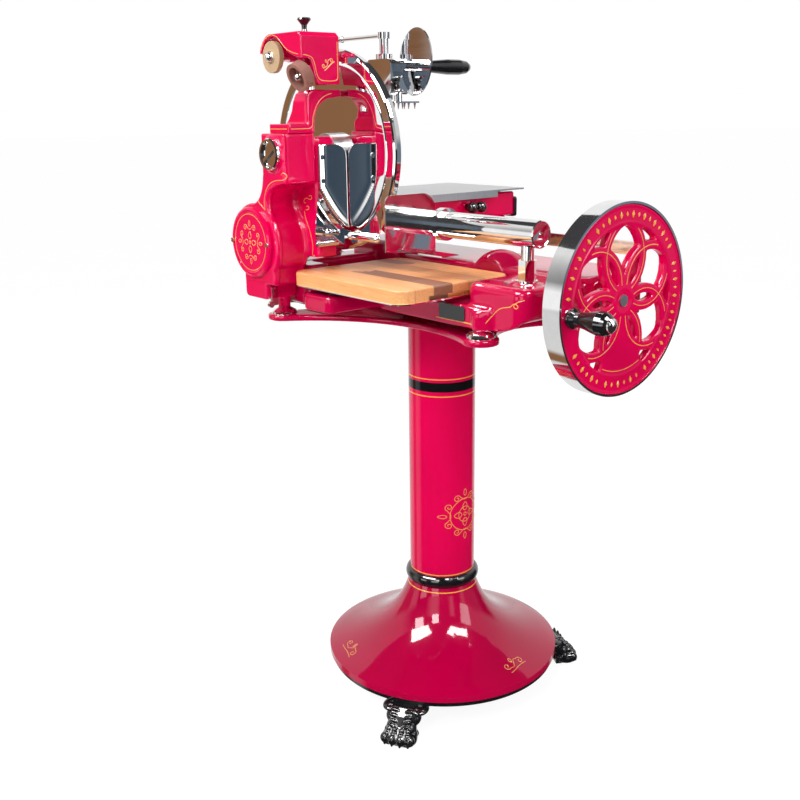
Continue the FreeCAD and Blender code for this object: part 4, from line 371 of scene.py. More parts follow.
ENAMELLED = (
    "top_plate machine_base gear_case round_cover flywheel feed_box sharpener_arm sharpener_hood"
    " guard_knob carriage"
).split()
BLACKED = (
    "under_ring lion_paws column_bead front_panel box_end crank_handle feed_knob_near feed_knob_far"
    " press_handle lift_knob"
).split()
CHROMED = (
    "flywheel_rim machine_feet bearing_cap blade_guard plate_handle guide_tube tube_post tube_cap press_post"
    " press_block hold_down_hook star_knob handle_spindle rear_rail case_screws side_plate grinding_spindle"
    " honing_spindle sharpener_spindle paw_bolts tray press_plate"
).split()
POLISHED = "blade deflector lower_plate hand_guard blade_screws".split()
PLAIN_STEEL = "tie_bolt drive_chain flywheel_shaft bevel_gear cross_shaft idler_gear blade_shaft".split()
COLUMN_BLACK = (0.6417, 0.6604)                 # heights of the painted bands and rings (m)
COLUMN_STRIPES = (0.2542, 0.6326, 0.6669)
BASE_STRIPES = (0.2180,)
# The base, top plate and bell take darker copies of the same enamel: this is painted shade, not a darker
# paint.
PAINTED_SHADE_CASTINGS = "machine_base", "top_plate"
PAINTED_SHADE_DEPTH = 0.78                             # painted shade: share of the enamel's colour kept on the castings under the blade
BELL_PAINTED_SHADE_DEPTH = 0.66                               # and the darker painted shade of the bell


class SLICER_OT_finishes(bpy.types.Operator):
    """Paint, plate, polish and oil every piece of the machine"""

    bl_idname = "slicer.finishes"
    bl_label = "Finishes"

    def execute(self, context):
        dress(enamel(), *ENAMELLED)
        # painted shade: a darker copy of the enamel on the base and top plate
        dress(enamel("painted_shade_enamel", PAINTED_SHADE_DEPTH), *PAINTED_SHADE_CASTINGS)
        dress(banded_enamel("column_enamel", COLUMN_STRIPES, [COLUMN_BLACK]), "column")
        # painted shade: the bell's enamel darkened below the column's, with its real painted ring
        dress(banded_enamel("bell_painted_shade_enamel", BASE_STRIPES, [], BELL_PAINTED_SHADE_DEPTH), "pedestal_base")
        dress(gloss_black(), *BLACKED)
        dress(chrome(), *CHROMED)
        dress(mirror_steel(), *POLISHED)
        dress(ground_steel("shaft_steel", (1.0, 20.0, 20.0), 0.25, 0.4), *PLAIN_STEEL)
        dress(ground_steel("table_steel", (0.4, 30.0, 1.0), 0.28, 0.42), "meat_table")
        dress(stone("grinding_grit", (0.50, 0.33, 0.18), 900.0), "grinding_stone")
        dress(stone("honing_grit", (0.27, 0.10, 0.07), 1200.0), "honing_stone")
        dress(board_wood(), "cutting_board")
        return {"FINISHED"}


# ---------------------------------------------------------------- castings with rounded edges
CASTINGS = (
    # node, body, size of the mesh's cells, passes of smoothing
    ("machine_base", "frame", 0.0034, 5),
    ("gear_case", "frame", 0.0018, 8),
    ("sharpener_arm", "frame", 0.0013, 8),
    ("sharpener_hood", "sharpener_head", 0.0012, 5),
    ("top_plate", "frame", 0.0028, 3),
    ("flywheel", "flywheel", 0.0015, 16),
)
WHEEL_BEADS = ((0.1588, 0.0022), (0.1300, 0.0026), (0.0215, 0.0024))    # radii of a ring and of its bead
BEAD_SINK = 0.0006             # how far the beads' middle lies under the wheel's face
DOUBLE_GAP = 0.00001           # points nearer than this are one point
SMOOTH_ANGLE = math.radians(40)


def select_only(piece):
    bpy.ops.object.select_all(action="DESELECT")
    piece.select_set(True)
    bpy.context.view_layer.objects.active = piece


def joined(pieces, name):
    bpy.ops.object.select_all(action="DESELECT")
    for piece in pieces:
        piece.select_set(True)
    bpy.context.view_layer.objects.active = pieces[0]
    bpy.ops.object.join()
    pieces[0].name = name
    return pieces[0]


def merged_copy(node, name):
    """New object with the shape of a CAD node, its doubled points merged."""
    piece = bpy.data.objects.new(name, NODES[node].data.copy())
    bpy.context.scene.collection.objects.link(piece)
    select_only(piece)
    bpy.ops.object.mode_set(mode="EDIT")
    bpy.ops.mesh.select_all(action="SELECT")
    bpy.ops.mesh.remove_doubles(threshold=DOUBLE_GAP)
    bpy.ops.object.mode_set(mode="OBJECT")
    return piece


def apply_modifier(piece, kind, **values):
    modifier = piece.modifiers.new(kind.lower(), kind)
    for key, value in values.items():
        setattr(modifier, key, value)
    select_only(piece)
    bpy.ops.object.modifier_apply(modifier=modifier.name)


def finish_casting(piece, body, cell, passes, node):
    """Melt the parts of a casting into one skin and round its edges."""
    apply_modifier(piece, "REMESH", mode="VOXEL", voxel_size=cell)
    apply_modifier(piece, "SMOOTH", factor=0.5, iterations=passes)
    bpy.ops.object.shade_smooth()
    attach(piece, body)
    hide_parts(node)


def soft_casting(node, body, cell, passes):
    """The node's shape with every sharp edge and corner rounded, as a casting leaves the mould."""
    piece = merged_copy(node, node + "_cast")
    if node == "flywheel":
        piece = joined([piece, *wheel_beads()], node + "_cast")
    finish_casting(piece, body, cell, passes, node)
    dress(NODES[node].data.materials[0], piece.name)


def wheel_beads():
    """Raised beads along both edges of the flywheel's ring and round its hub."""
    low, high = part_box("flywheel")
    middle = (high.x - BEAD_SINK, (low.y + high.y) / 2, (low.z + high.z) / 2)
    beads = []
    for radius, thick in WHEEL_BEADS:
        bpy.ops.object.select_all(action="DESELECT")
        bpy.ops.mesh.primitive_torus_add(
            location=middle, rotation=(0, math.pi / 2, 0), major_radius=radius, minor_radius=thick,
            major_segments=160, minor_segments=12,
        )
        bpy.ops.object.transform_apply(location=True, rotation=True)
        beads.append(bpy.context.object)
    return beads


class SLICER_OT_castings(bpy.types.Operator):
    """Give the castings the rounded edges of cast and filled iron"""

    bl_idname = "slicer.castings"
    bl_label = "Castings"

    def execute(self, context):
        for casting in CASTINGS:
            soft_casting(*casting)
        return {"FINISHED"}


# ---------------------------------------------------------------- blade and deflector
FOOT_STEPS = 24
FOOT_FRONT, FOOT_BACK = -0.225, -0.160          # Y of the deflector's front edge and of its lowest point
FOOT_LOW, FOOT_RISE = 0.958, 0.076              # height of that point, rise of the lower edge from it
FOOT_POWER = 1.45                               # roundness of the lower edge
FLARE_REACH, FLARE_HEIGHT = 0.010, 0.0030
BLADE_RIM, BLADE_DISH = 0.030, 0.0016           # width of the slope inside the edge, depth of the dish


def flare_deflector(piece):
    """Turn the deflector's curved lower edge out of its plane, as a sheet that throws the slice off."""
    edge = []
    for i in range(FOOT_STEPS + 1):
        share = i / FOOT_STEPS
        lower_y = FOOT_FRONT + (FOOT_BACK - FOOT_FRONT) * share
        edge.append(Vector((lower_y, FOOT_LOW + FOOT_RISE * (1 - share) ** FOOT_POWER)))
        edge.append(Vector((FOOT_FRONT, FOOT_LOW + FOOT_RISE * (1 + share))))
    for vertex in piece.data.vertices:
        spot = Vector((vertex.co.y, vertex.co.z))
        gap = min((spot - place).length for place in edge)
        vertex.co.x += FLARE_HEIGHT * math.exp(-((gap / FLARE_REACH) ** 2))


def dish_blade(piece):
    """Sink the blade's face a little inside its ground edge zone."""
    low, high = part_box("blade")
    middle = Vector(((low.x + high.x) / 2, (low.z + high.z) / 2))
    radius = (high.x - low.x) / 2
    for vertex in piece.data.vertices:
        reach = (Vector((vertex.co.x, vertex.co.z)) - middle).length
        share = max(0.0, min(1.0, (reach - (radius - BLADE_RIM)) / BLADE_RIM))
        vertex.co.y += BLADE_DISH * share * share


SHEETS = (
    # node, body, what shapes it, size of the mesh's cells
    ("deflector", "frame", flare_deflector, 0.0009),
    ("blade", "blade", dish_blade, 0.0014),
)


class SLICER_OT_polished_sheets(bpy.types.Operator):
    """Dished blade and curved deflector"""

    bl_idname = "slicer.polished_sheets"
    bl_label = "Blade and deflector"

    def execute(self, context):
        for node, body, shape, cell in SHEETS:
            piece = merged_copy(node, node + "_sheet")
            apply_modifier(piece, "REMESH", mode="VOXEL", voxel_size=cell)
            shape(piece)
            bpy.ops.object.shade_smooth_by_angle(angle=SMOOTH_ANGLE)
            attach(piece, body)
            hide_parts(node)
            dress(bpy.data.materials["mirror_steel"], piece.name)
        return {"FINISHED"}


# ---------------------------------------------------------------- stone nuts
STONE_NUTS = (
    # name, body, place on the stone's axis (mm), tilt of the axis (degrees), radius (mm)
    ("flat_stone_nut", "flat_stone", (-149, -274.8, 1261), 0, 8.5),
    ("cup_stone_nut", "cup_stone", (-73, -268.0, 1225.0), 26, 6.5),
)
NUT_SEGMENTS, NUT_RINGS = 32, 8


def half_ball(name, radius):
    """Closed half ball with its flat side down, its points and faces always in the same order."""
    points = [(0.0, 0.0, radius)]
    for ring in range(1, NUT_RINGS + 1):
        down = math.radians(90 * ring / NUT_RINGS)
        circle = ring_points((0.0, 0.0), radius * math.sin(down), 0, 360, NUT_SEGMENTS)[:-1]
        points += [(x, y, radius * math.cos(down)) for x, y in circle]
    steps = [(i, (i + 1) % NUT_SEGMENTS) for i in range(NUT_SEGMENTS)]
    faces = [(0, 1 + i, 1 + j) for i, j in steps]
    for upper in range(1, len(points) - NUT_SEGMENTS, NUT_SEGMENTS):
        lower = upper + NUT_SEGMENTS
        faces += [(upper + i, lower + i, lower + j, upper + j) for i, j in steps]
    faces.append(tuple(reversed(range(len(points) - NUT_SEGMENTS, len(points)))))
    mesh = bpy.data.meshes.new(name)
    mesh.from_pydata(points, [], faces)
    ball = bpy.data.objects.new(name, mesh)
    bpy.context.scene.collection.objects.link(ball)
    return ball


class SLICER_OT_stone_nuts(bpy.types.Operator):
    """Domed chrome nuts that hold the two stones"""

    bl_idname = "slicer.stone_nuts"
    bl_label = "Stone nuts"

    def execute(self, context):
        for name, body, place, tilt, radius in STONE_NUTS:
            nut = half_ball(name, radius * MM)
            turn = Matrix.Rotation(math.radians(90 + tilt), 4, "X")
            nut.data.transform(Matrix.Translation(Vector(place) * MM) @ turn)
            select_only(nut)
            bpy.ops.object.shade_smooth_by_angle(angle=SMOOTH_ANGLE)
            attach(nut, body)
            dress(bpy.data.materials["chrome"], name)
        return {"FINISHED"}


# ---------------------------------------------------------------- lion paws
PAW_ANGLES = (-60.0, 60.0, 180.0)
PAW_CELL, PAW_PASSES = 0.0013, 2
PAW_BUMPS = (
    # place of a bump on a paw along +X and its half sizes (mm), its turns about X, Y, Z (degrees)
    ((232, 26, 52), (26, 20, 8), (0, 0, 12)),
    ((246, 22, 40), (18, 13, 14), (0, 20, 8)),
    ((262, 20, 22), (16, 10, 16), (0, 30, 0)),
    ((256, 11, 54.5), (4.0, 15, 3.2), (22, 0, -16)),
    ((264, 11, 47.0), (4.0, 14, 3.2), (24, 0, -16)),
    ((270, 11, 39.0), (4.0, 13, 3.2), (26, 0, -16)),
    ((275, 10, 31.5), (4.0, 12, 3.0), (28, 0, -16)),
    ((281, 7.5, 27.0), (6.0, 5.0, 6.0), (0, 0, 0)),
    ((279, 19.5, 26.0), (6.0, 5.5, 6.0), (0, 0, 0)),
    ((288, 7.5, 20.5), (6.5, 5.4, 6.0), (0, 0, 0)),
    ((286, 20.5, 20.0), (6.5, 5.6, 6.0), (0, 0, 0)),
    ((293, 8.0, 12.5), (6.5, 5.6, 7.0), (0, 0, 0)),
    ((290, 22.5, 12.0), (6.5, 6.2, 7.0), (0, 0, 0)),
    ((296.5, 8.0, 5.0), (3.4, 2.6, 4.8), (0, -18, 0)),
    ((293.5, 23.5, 5.0), (3.4, 2.6, 4.8), (0, -18, 0)),
    ((272, 29.0, 9.0), (17, 6.0, 8.5), (0, 0, 8)),
)


def ellipsoid(place, half_sizes, turns):
    bpy.ops.object.select_all(action="DESELECT")
    bpy.ops.mesh.primitive_ico_sphere_add(subdivisions=4, radius=1.0, location=(0, 0, 0))
    lump = bpy.context.object
    turn = Euler([math.radians(t) for t in turns]).to_matrix().to_4x4()
    grow = Matrix.Diagonal((*[r * MM for r in half_sizes], 1.0))
    lump.data.transform(Matrix.Translation(Vector(place) * MM) @ turn @ grow)
    return lump


class SLICER_OT_paws(bpy.types.Operator):
    """Cast lion paws with tufts of fur, knuckles and claws"""

    bl_idname = "slicer.paws"
    bl_label = "Lion paws"

    def execute(self, context):
        lumps = []
        for (x, y, z), half_sizes, (about_x, about_y, about_z) in PAW_BUMPS:
            for side in (1, -1):
                turns = (side * about_x, about_y, side * about_z)
                lumps.append(ellipsoid((x, side * y, z), half_sizes, turns))
        detail = joined(lumps, "paw_detail")
        pieces = [merged_copy("lion_paws", "paws_copy")]
        for angle in PAW_ANGLES:
            copy = bpy.data.objects.new("paw_detail_copy", detail.data.copy())
            context.scene.collection.objects.link(copy)
            copy.data.transform(Matrix.Rotation(math.radians(angle), 4, "Z"))
            pieces.append(copy)
        bpy.data.objects.remove(detail)
        paws = joined(pieces, "lion_paws_cast")
        finish_casting(paws, "frame", PAW_CELL, PAW_PASSES, "lion_paws")
        dress(bpy.data.materials["gloss_black"], "lion_paws_cast")
        return {"FINISHED"}


# ---------------------------------------------------------------- painted lines and ornaments
LINE_REACH = 0.02              # how far off its surface a painted line is searched for
LINE_RADIUS = 0.00125
BOLD_LINE_RADIUS = LINE_RADIUS * 1.3
FINE_LINE_RADIUS = 0.0008
LINE_ORDER, LINE_STEPS = 3, 6  # order of the smooth runs, points between two of their knots
CURL_STEPS = 14
CURL_WIND = 0.78               # share of its radius that a curl loses on its way in
DIRECTIONS = {"-y": (1, -1), "+x": (0, 1), "+z": (2, 1)}     # axis and sign of each way a surface faces


def ring_points(centre, radius, start, end, steps):
    turns = [math.radians(start + (end - start) * i / steps) for i in range(steps + 1)]
    return [(centre[0] + radius * math.cos(t), centre[1] + radius * math.sin(t)) for t in turns]


def curl(centre, radius, start, turn):
    """Spiral that winds in towards its centre, through a turn in degrees from a starting direction."""
    points = []
    for i in range(CURL_STEPS + 1):
        share = i / CURL_STEPS
        angle = math.radians(start + turn * share)
        reach = radius * (1 - CURL_WIND * share)
        points.append((centre[0] + reach * math.cos(angle), centre[1] + reach * math.sin(angle)))
    return points


def turned(points, centre, angle):
    c, s = math.cos(math.radians(angle)), math.sin(math.radians(angle))
    return [(centre[0] + a * c - b * s, centre[1] + a * s + b * c) for a, b in points]


def rosette(centre, size):
    """Four long petals round a bud, and four pairs of scrolls with a leaf over each pair."""
    runs = [(ring_points(centre, 0.07 * size, 0, 315, 7), True)]
    petal = [(0.0, 0.13), (0.13, 0.25), (0.09, 0.40), (0.0, 0.50), (-0.09, 0.40), (-0.13, 0.25)]
    leaf = [(0.0, 0.70), (0.09, 0.84), (0.0, 1.04), (-0.09, 0.84)]
    scroll = [(0.0, 0.60), (0.10, 0.60), (0.17, 0.68)] + curl((0.36, 0.66), 0.15, 165, -470)
    for i in range(4):
        for path in (petal, leaf):
            runs.append((turned([(a * size, b * size) for a, b in path], centre, 90 * i), True))
        for mirror in (1, -1):
            points = [(mirror * a * size, b * size) for a, b in scroll]
            runs.append((turned(points, centre, 90 * i), False))
    return runs


def flourish(centre, size, angle):
    """Small double scroll with a crossing stroke."""
    body = curl((-0.55, 0.12), 0.24, 300, -420)[::-1] + [(-0.2, -0.2), (0.05, 0.0), (0.25, 0.22)]
    body += curl((0.55, -0.1), 0.24, 120, -420)
    stroke = [(-0.75, -0.32), (-0.3, -0.36), (0.2, -0.30), (0.8, -0.40)]
    leaf = [(0.0, 0.05), (0.10, 0.28), (0.02, 0.46), (-0.10, 0.28)]
    runs = []
    for path, closed in ((body, False), (stroke, False), (leaf, True)):
        runs.append((turned([(a * size, b * size) for a, b in path], centre, angle), closed))
    return runs


WHEEL_CENTRE = (51.0, 855.0)
PETALS = 6
PETAL_START, PETAL_TIP, PETAL_BULGE = 15.0, 97.0, 15.0
PETAL_FROM, PETAL_SWEEP, PETAL_STEPS = -118, 125, 24    # arc of a line that goes on to the ring (degrees)
FAN_SWEEP, FAN_SIDES = 63, ((4, 1), (5, -1))            # arc of a line beside the fan, its petal and side
PETAL_REACH = (27.0, 125.0)                             # the lines keep between these radii
FAN_EDGE, FAN_TURNS = 121.0, (246, 294)


def wheel_lines():
    """Lines along both sides of each petal and out to the ring, and along the fan's edge."""
    half = (PETAL_TIP - PETAL_START) / 2
    arc = (half ** 2 + PETAL_BULGE ** 2) / (2 * PETAL_BULGE)
    runs = []
    for i in range(PETALS):
        for side in (-1, 1):
            middle = Vector((PETAL_START + half, side * (arc - PETAL_BULGE)))
            sweep = FAN_SWEEP if (i, side) in FAN_SIDES else PETAL_SWEEP
            points = []
            for step in range(PETAL_STEPS + 1):
                angle = math.radians(side * (PETAL_FROM + sweep * step / PETAL_STEPS))
                spot = middle + arc * Vector((math.cos(angle), math.sin(angle)))
                if PETAL_REACH[0] < spot.length < PETAL_REACH[1]:
                    points.append((spot.x, spot.y))
            runs.append((turned(points, WHEEL_CENTRE, 360 / PETALS * i), False))
    runs.append((ring_points(WHEEL_CENTRE, FAN_EDGE, *FAN_TURNS, 12), False))
    return runs


def hood_front_line():
    bend = ring_points((-149, 1261), 37.2, 160, 52, 12)
    return bend + [(-112, 1278), (-98, 1270), (-80, 1264.5), (-68, 1262.5)]


LINES = (
    # name, carrier, body, way its surface faces, rough place of the surface, runs of points (mm), radius (m)
    ("case_lines", "gear_case_cast", "frame", "-y", -295.0, [
        ([(-99, 1060), (-95, 1064), (-89, 1063), (-86, 1058), (-89, 1052.5), (-97, 1050.5), (-118, 1049.5),
          (-134, 1045), (-147, 1036), (-156, 1022), (-159.5, 1007), (-157, 995)], False),
        ([(-179, 1016), (-178, 1008), (-170, 1003), (-157, 995)], False),
    ]),
    ("flank_lines", "gear_case_cast", "frame", "-y", -226.0, [
        ([(-112, 1018), (-107, 1021), (-103, 1017), (-106, 1012), (-114, 1013), (-122, 1015), (-130, 1010),
          (-128, 1004), (-123, 1006)], False),
        ([(-122, 999), (-117, 1001), (-113, 997), (-117, 993), (-124, 993)], False),
        ([(-129, 990), (-127, 978), (-118, 964), (-109, 944), (-105, 925), (-109, 912), (-104, 907),
          (-101, 911)], False),
    ]),
    ("arm_ledge_line", "sharpener_arm_cast", "frame", "-y", -284.0, [
        ([(-143, 1138.5), (-91, 1138.5)], False),
    ]),
    ("arm_side_line", "sharpener_arm_cast", "frame", "+x", -85.5, [
        ([(-279, 1138.5), (-246, 1138.5), (-236, 1139), (-231.5, 1146), (-231, 1158), (-221, 1181),
          (-204, 1195.5), (-188, 1198.5)], False),
    ]),
    ("hood_front_line", "sharpener_hood_cast", "sharpener_head", "-y", -270.0, [
        (hood_front_line(), False),
    ]),
    ("hood_side_line", "sharpener_hood_cast", "sharpener_head", "+x", -60.0, [
        ([(-266, 1261.5), (-248, 1260.5), (-241.5, 1249), (-238, 1230), (-231, 1218.5), (-197, 1218.5),
          (-192, 1223), (-192, 1236), (-192, 1284)], False),
    ] + flourish((-214, 1248), 17.0, 38)),
    ("cover_lines", "round_cover", "frame", "-y", -304.0, [
        (ring_points((-201, 933), 52.5, 0, 355, 71), True),
    ]),
    ("cover_rosette", "round_cover", "frame", "-y", -304.0, rosette((-201, 933), 41.0), FINE_LINE_RADIUS),
    ("base_lines", "machine_base_cast", "frame", "-y", -140.0, [([(138, 817), (252, 817)], False)]),
    ("belly_lines", "machine_base_cast", "frame", "-y", -128.0, [
        ([(258, 822), (264, 832), (272, 842), (283, 850), (296, 853), (306, 855), (312, 861), (319, 861),
          (322, 856), (317, 853), (312, 857), (318, 864), (330, 868)], False),
    ]),
    ("column_rosette", "column", "frame", "+x", 62.0, rosette((2.0, 383.0), 54.0) + [
        (ring_points((2.0, 383.0), 16.0, 0, 355, 71), True),
        (ring_points((2.0, 383.0), 34.0, 0, 355, 71), True),
    ], BOLD_LINE_RADIUS),
    ("bell_script_left", "pedestal_base", "frame", "+z", 110.0, flourish((-68.5, -193.0), 33.0, -20)),
    ("bell_script_right", "pedestal_base", "frame", "+z", 110.0, flourish((199.0, 11.0), 33.0, 104)),
    ("wheel_lines", "flywheel_cast", "flywheel", "+x", 397.0, wheel_lines()),
)


def surface_tree(piece):
    mesh = piece.data
    return BVHTree.FromPolygons([v.co for v in mesh.vertices], [p.vertices for p in mesh.polygons])


def line_mesh(name, runs, axis, level):
    """Mesh edges along smooth runs of points, all at one level (mm) along an axis."""
    curve = bpy.data.curves.new(name, "CURVE")
    curve.dimensions = "3D"
    curve.resolution_u = LINE_STEPS
    for points, closed in runs:
        spline = curve.splines.new("NURBS")
        spline.points.add(len(points) - 1)
        for knot, (first, second) in zip(spline.points, points):
            place = [first * MM, second * MM]
            place.insert(axis, level * MM)
            knot.co = (*place, 1.0)
        spline.order_u = LINE_ORDER
        spline.use_endpoint_u = not closed
        spline.use_cyclic_u = closed
    guide = bpy.data.objects.new(name + "_guide", curve)
    bpy.context.scene.collection.objects.link(guide)
    mesh = bpy.data.meshes.new_from_object(guide)
    bpy.data.objects.remove(guide)
    return mesh


def painted_lines(name, carrier, body, facing, level, runs, radius=LINE_RADIUS):
    """Fine raised lines that follow smooth runs and lie on the surface of a piece."""
    axis, sign = DIRECTIONS[facing]
    outward = Vector((0, 0, 0))
    outward[axis] = sign
    mesh = line_mesh(name, runs, axis, level)
    tree = surface_tree(bpy.data.objects[carrier] if carrier in bpy.data.objects else NODES[carrier])
    sink = radius - sizes().stripe_proud
    for vertex in mesh.vertices:
        place, normal, _, _ = tree.ray_cast(vertex.co + outward * LINE_REACH, -outward, 3 * LINE_REACH)
        if place is not None:
            vertex.co = place - normal * sink
    lines = bpy.data.objects.new(name, mesh)
    bpy.context.scene.collection.objects.link(lines)
    select_only(lines)
    bpy.ops.object.convert(target="CURVE")
    lines.data.bevel_depth = radius
    lines.data.bevel_resolution = 1
    lines.data.use_fill_caps = True
    bpy.ops.object.convert(target="MESH")
    bpy.ops.object.shade_smooth()
    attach(lines, body)
    dress(bpy.data.materials["stripe_paint"], name)


class SLICER_OT_lines(bpy.types.Operator):
    """Paint the fine lines, scrolls and rosettes"""

    bl_idname = "slicer.lines"
    bl_label = "Painted lines"

    def execute(self, context):
        stripe_paint()
        for line in LINES:
            painted_lines(*line)
        return {"FINISHED"}


STUD_RING_R = 0.1440
STUD_ARCS = (
    # from, to (degrees), number of lozenges
    (-62, 20, 15), (34, 122, 15), (132, 172, 7), (212, 244, 6), (254, 288, 6),
)
STUD_RADIUS, STUD_HEIGHT, STUD_BEVEL = 0.0062, 0.0030, 0.0006
STUD_WIDTH = 0.5               # width of a lozenge as a share of its length
SMALL_STUD = 0.62              # size of every second lozenge


class SLICER_OT_wheel_studs(bpy.types.Operator):
    """Raised gold lozenges round the flywheel's ring"""

    bl_idname = "slicer.wheel_studs"
    bl_label = "Wheel ornament"

    def execute(self, context):
        bpy.ops.object.select_all(action="DESELECT")
        bpy.ops.mesh.primitive_cylinder_add(
            vertices=4, radius=STUD_RADIUS, depth=STUD_HEIGHT, location=(0, 0, 0),
        )
        pattern = context.object
        bpy.ops.object.mode_set(mode="EDIT")
        bpy.ops.transform.resize(value=(STUD_WIDTH, 1.0, 1.0))
        bpy.ops.mesh.bevel(offset=STUD_BEVEL, segments=2, affect="EDGES")
        bpy.ops.object.mode_set(mode="OBJECT")
        low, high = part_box("flywheel")
        middle = Vector((high.x, (low.y + high.y) / 2, (low.z + high.z) / 2))
        pieces = []
        for start, end, count in STUD_ARCS:
            for i in range(count):
                angle = math.radians(start + (end - start) * i / (count - 1))
                out = Vector((0, math.cos(angle), math.sin(angle)))
                across = Vector((0, -math.sin(angle), math.cos(angle)))
                turn = Matrix((across, out, Vector((1, 0, 0)))).transposed().to_4x4()
                grow = 1.0 if i % 2 == 0 else SMALL_STUD
                size = Matrix.Diagonal((grow, grow, 1, 1))
                stud = bpy.data.objects.new("stud", pattern.data.copy())
                context.scene.collection.objects.link(stud)
                stud.data.transform(Matrix.Translation(middle + out * STUD_RING_R) @ turn @ size)
                pieces.append(stud)
        bpy.data.objects.remove(pattern)
        studs = joined(pieces, "wheel_studs")
        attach(studs, "flywheel")
        dress(bpy.data.materials["stripe_paint"], "wheel_studs")
        return {"FINISHED"}


# ---------------------------------------------------------------- stage
CAMERA_PLACE = (1.4389, -1.3180, 1.1660)
CAMERA_LENS = 45.49
CAMERA_HEADING = (-0.7658, 0.6431)
CAMERA_DOWN = math.radians(15.94)
CAMERA_ROLL = math.radians(0.78)
LAMPS = (
    # name, place and what it aims at (m), size (m), power (W), kind of sight that it is hidden from
    ("key_left", (-0.6, -2.6, 2.6), (0.0, 0.0, 0.8), (1.0, 1.0), 48, None),
    ("key_front", (1.5, -2.7, 2.7), (0.1, 0.0, 0.7), (0.9, 0.9), 44, None),
    ("side_right", (2.8, 1.0, 1.9), (0.1, 0.0, 0.8), (1.2, 1.6), 30, None),
    ("glint_left", (-0.315, -1.67, 2.65), (0.045, -0.10, 0.15), (1.5, 0.75), 100, "visible_diffuse"),
    ("glint_right", (1.65, 0.03, 2.72), (0.10, -0.05, 0.15), (1.5, 0.75), 100, "visible_diffuse"),
    ("top_fill", (0.1, -0.1, 3.2), (0.1, -0.1, 0.8), (1.4, 1.4), 30, "visible_glossy"),
)
WORLD_FILL = 0.32              # brightness of the world as a lamp
FLOOR_RADIUS, FLOOR_DROP = 60.0, 0.0005
FLOOR_GLOW, FLOOR_GLOW_SHARE = 1.15, 0.80       # the floor's own light, which only the camera sees

# Walls round the machine that only its polished and painted surfaces see. Each list of colours goes once
# round them: 0 at -X, 0.25 at -Y, 0.5 at +X, 0.75 at +Y and 1 at -X again.
WALL_RADIUS, WALL_LOW, WALL_HIGH = 6.0, -1.0, 7.0
LID_HEIGHT, LID_COLOUR = 6.9, (0.05, 0.05, 0.055)
WHITE, DARK = (0.95, 0.95, 0.95), (0.022, 0.018, 0.018)
BROWN, SLATE, DEEP = (0.26, 0.125, 0.06), (0.16, 0.20, 0.25), (0.05, 0.075, 0.105)
GROUND_DARK = (0.03, 0.025, 0.025)
WALL = [
    (0.00, WHITE), (0.040, WHITE), (0.048, BROWN), (0.115, BROWN), (0.122, WHITE), (0.165, WHITE),
    (0.178, DARK), (0.365, DARK), (0.378, SLATE), (0.392, DEEP), (0.415, DEEP), (0.435, SLATE), (0.45, DARK),
    (0.53, DARK), (0.545, WHITE), (0.565, WHITE), (0.58, SLATE), (0.68, SLATE), (0.70, DARK), (0.735, DARK),
    (0.76, WHITE), (1.0, WHITE),
]
CEILING = [
    (0.00, grey(0.85)), (0.10, grey(0.8)), (0.16, grey(0.05)), (0.53, grey(0.05)), (0.57, grey(0.6)),
    (0.70, grey(0.7)), (0.76, grey(0.9)), (1.0, grey(0.9)),
]
GROUND = [
    (0.00, grey(0.75)), (0.05, grey(0.7)), (0.062, BROWN), (0.092, BROWN), (0.105, grey(0.7)),
    (0.145, grey(0.7)), (0.17, GROUND_DARK), (0.74, GROUND_DARK), (0.77, grey(0.8)), (1.0, grey(0.8)),
]
SOFT_BOXES = [
    (0.255, grey(0)), (0.300, grey(1)), (0.340, grey(1)), (0.366, grey(0)), (0.432, grey(0)),
    (0.455, grey(1)), (0.462, grey(1)), (0.485, grey(0)),
]
BOX_SPAN, BOX_LIGHT = (1.35, 4.4), 1.3          # heights that the soft boxes hang between, their brightness
STRIPS = ((0.195, 0.245), (0.290, 0.350))
STRIP_SPAN, STRIP_LIGHT = (-0.15, 1.35), 3.0
CEILING_EDGE, GROUND_EDGE = (0.34, 0.46), (0.10, 0.135)    # soft edges, as shares of the walls' height


def area_light(name, place, target, size, power):
    bpy.ops.object.select_all(action="DESELECT")
    bpy.ops.object.light_add(type="AREA", location=place)
    light = bpy.context.object
    light.name = name
    light.data.shape = "RECTANGLE"
    light.data.size, light.data.size_y = size
    light.data.energy = power
    light.rotation_euler = (Vector(target) - Vector(place)).to_track_quat("-Z", "Y").to_euler()
    return light


def floor_material():
    """Pale floor that glows a little to the camera, so that only the shadows stand out on it."""
    shader = Shader("pale_floor")
    tone = shader.noise(shader.place(), scale=3.0, detail=2.0)
    shader.set(Base_Color=shader.tint(tone, grey(0.90), grey(0.93)), Roughness=0.9)
    path = shader.node("LightPath")
    glow = shader.node("Emission")
    blend = shader.node("MixShader")
    glow.inputs["Strength"].default_value = FLOOR_GLOW
    shader.link(shader.math("MULTIPLY", path.outputs["Is Camera Ray"], FLOOR_GLOW_SHARE), blend.inputs[0])
    shader.link(shader.bsdf.outputs[0], blend.inputs[1])
    shader.link(glow.outputs[0], blend.inputs[2])
    shader.link(blend.outputs[0], shader.tree.nodes["Material Output"].inputs["Surface"])
    return shader.material


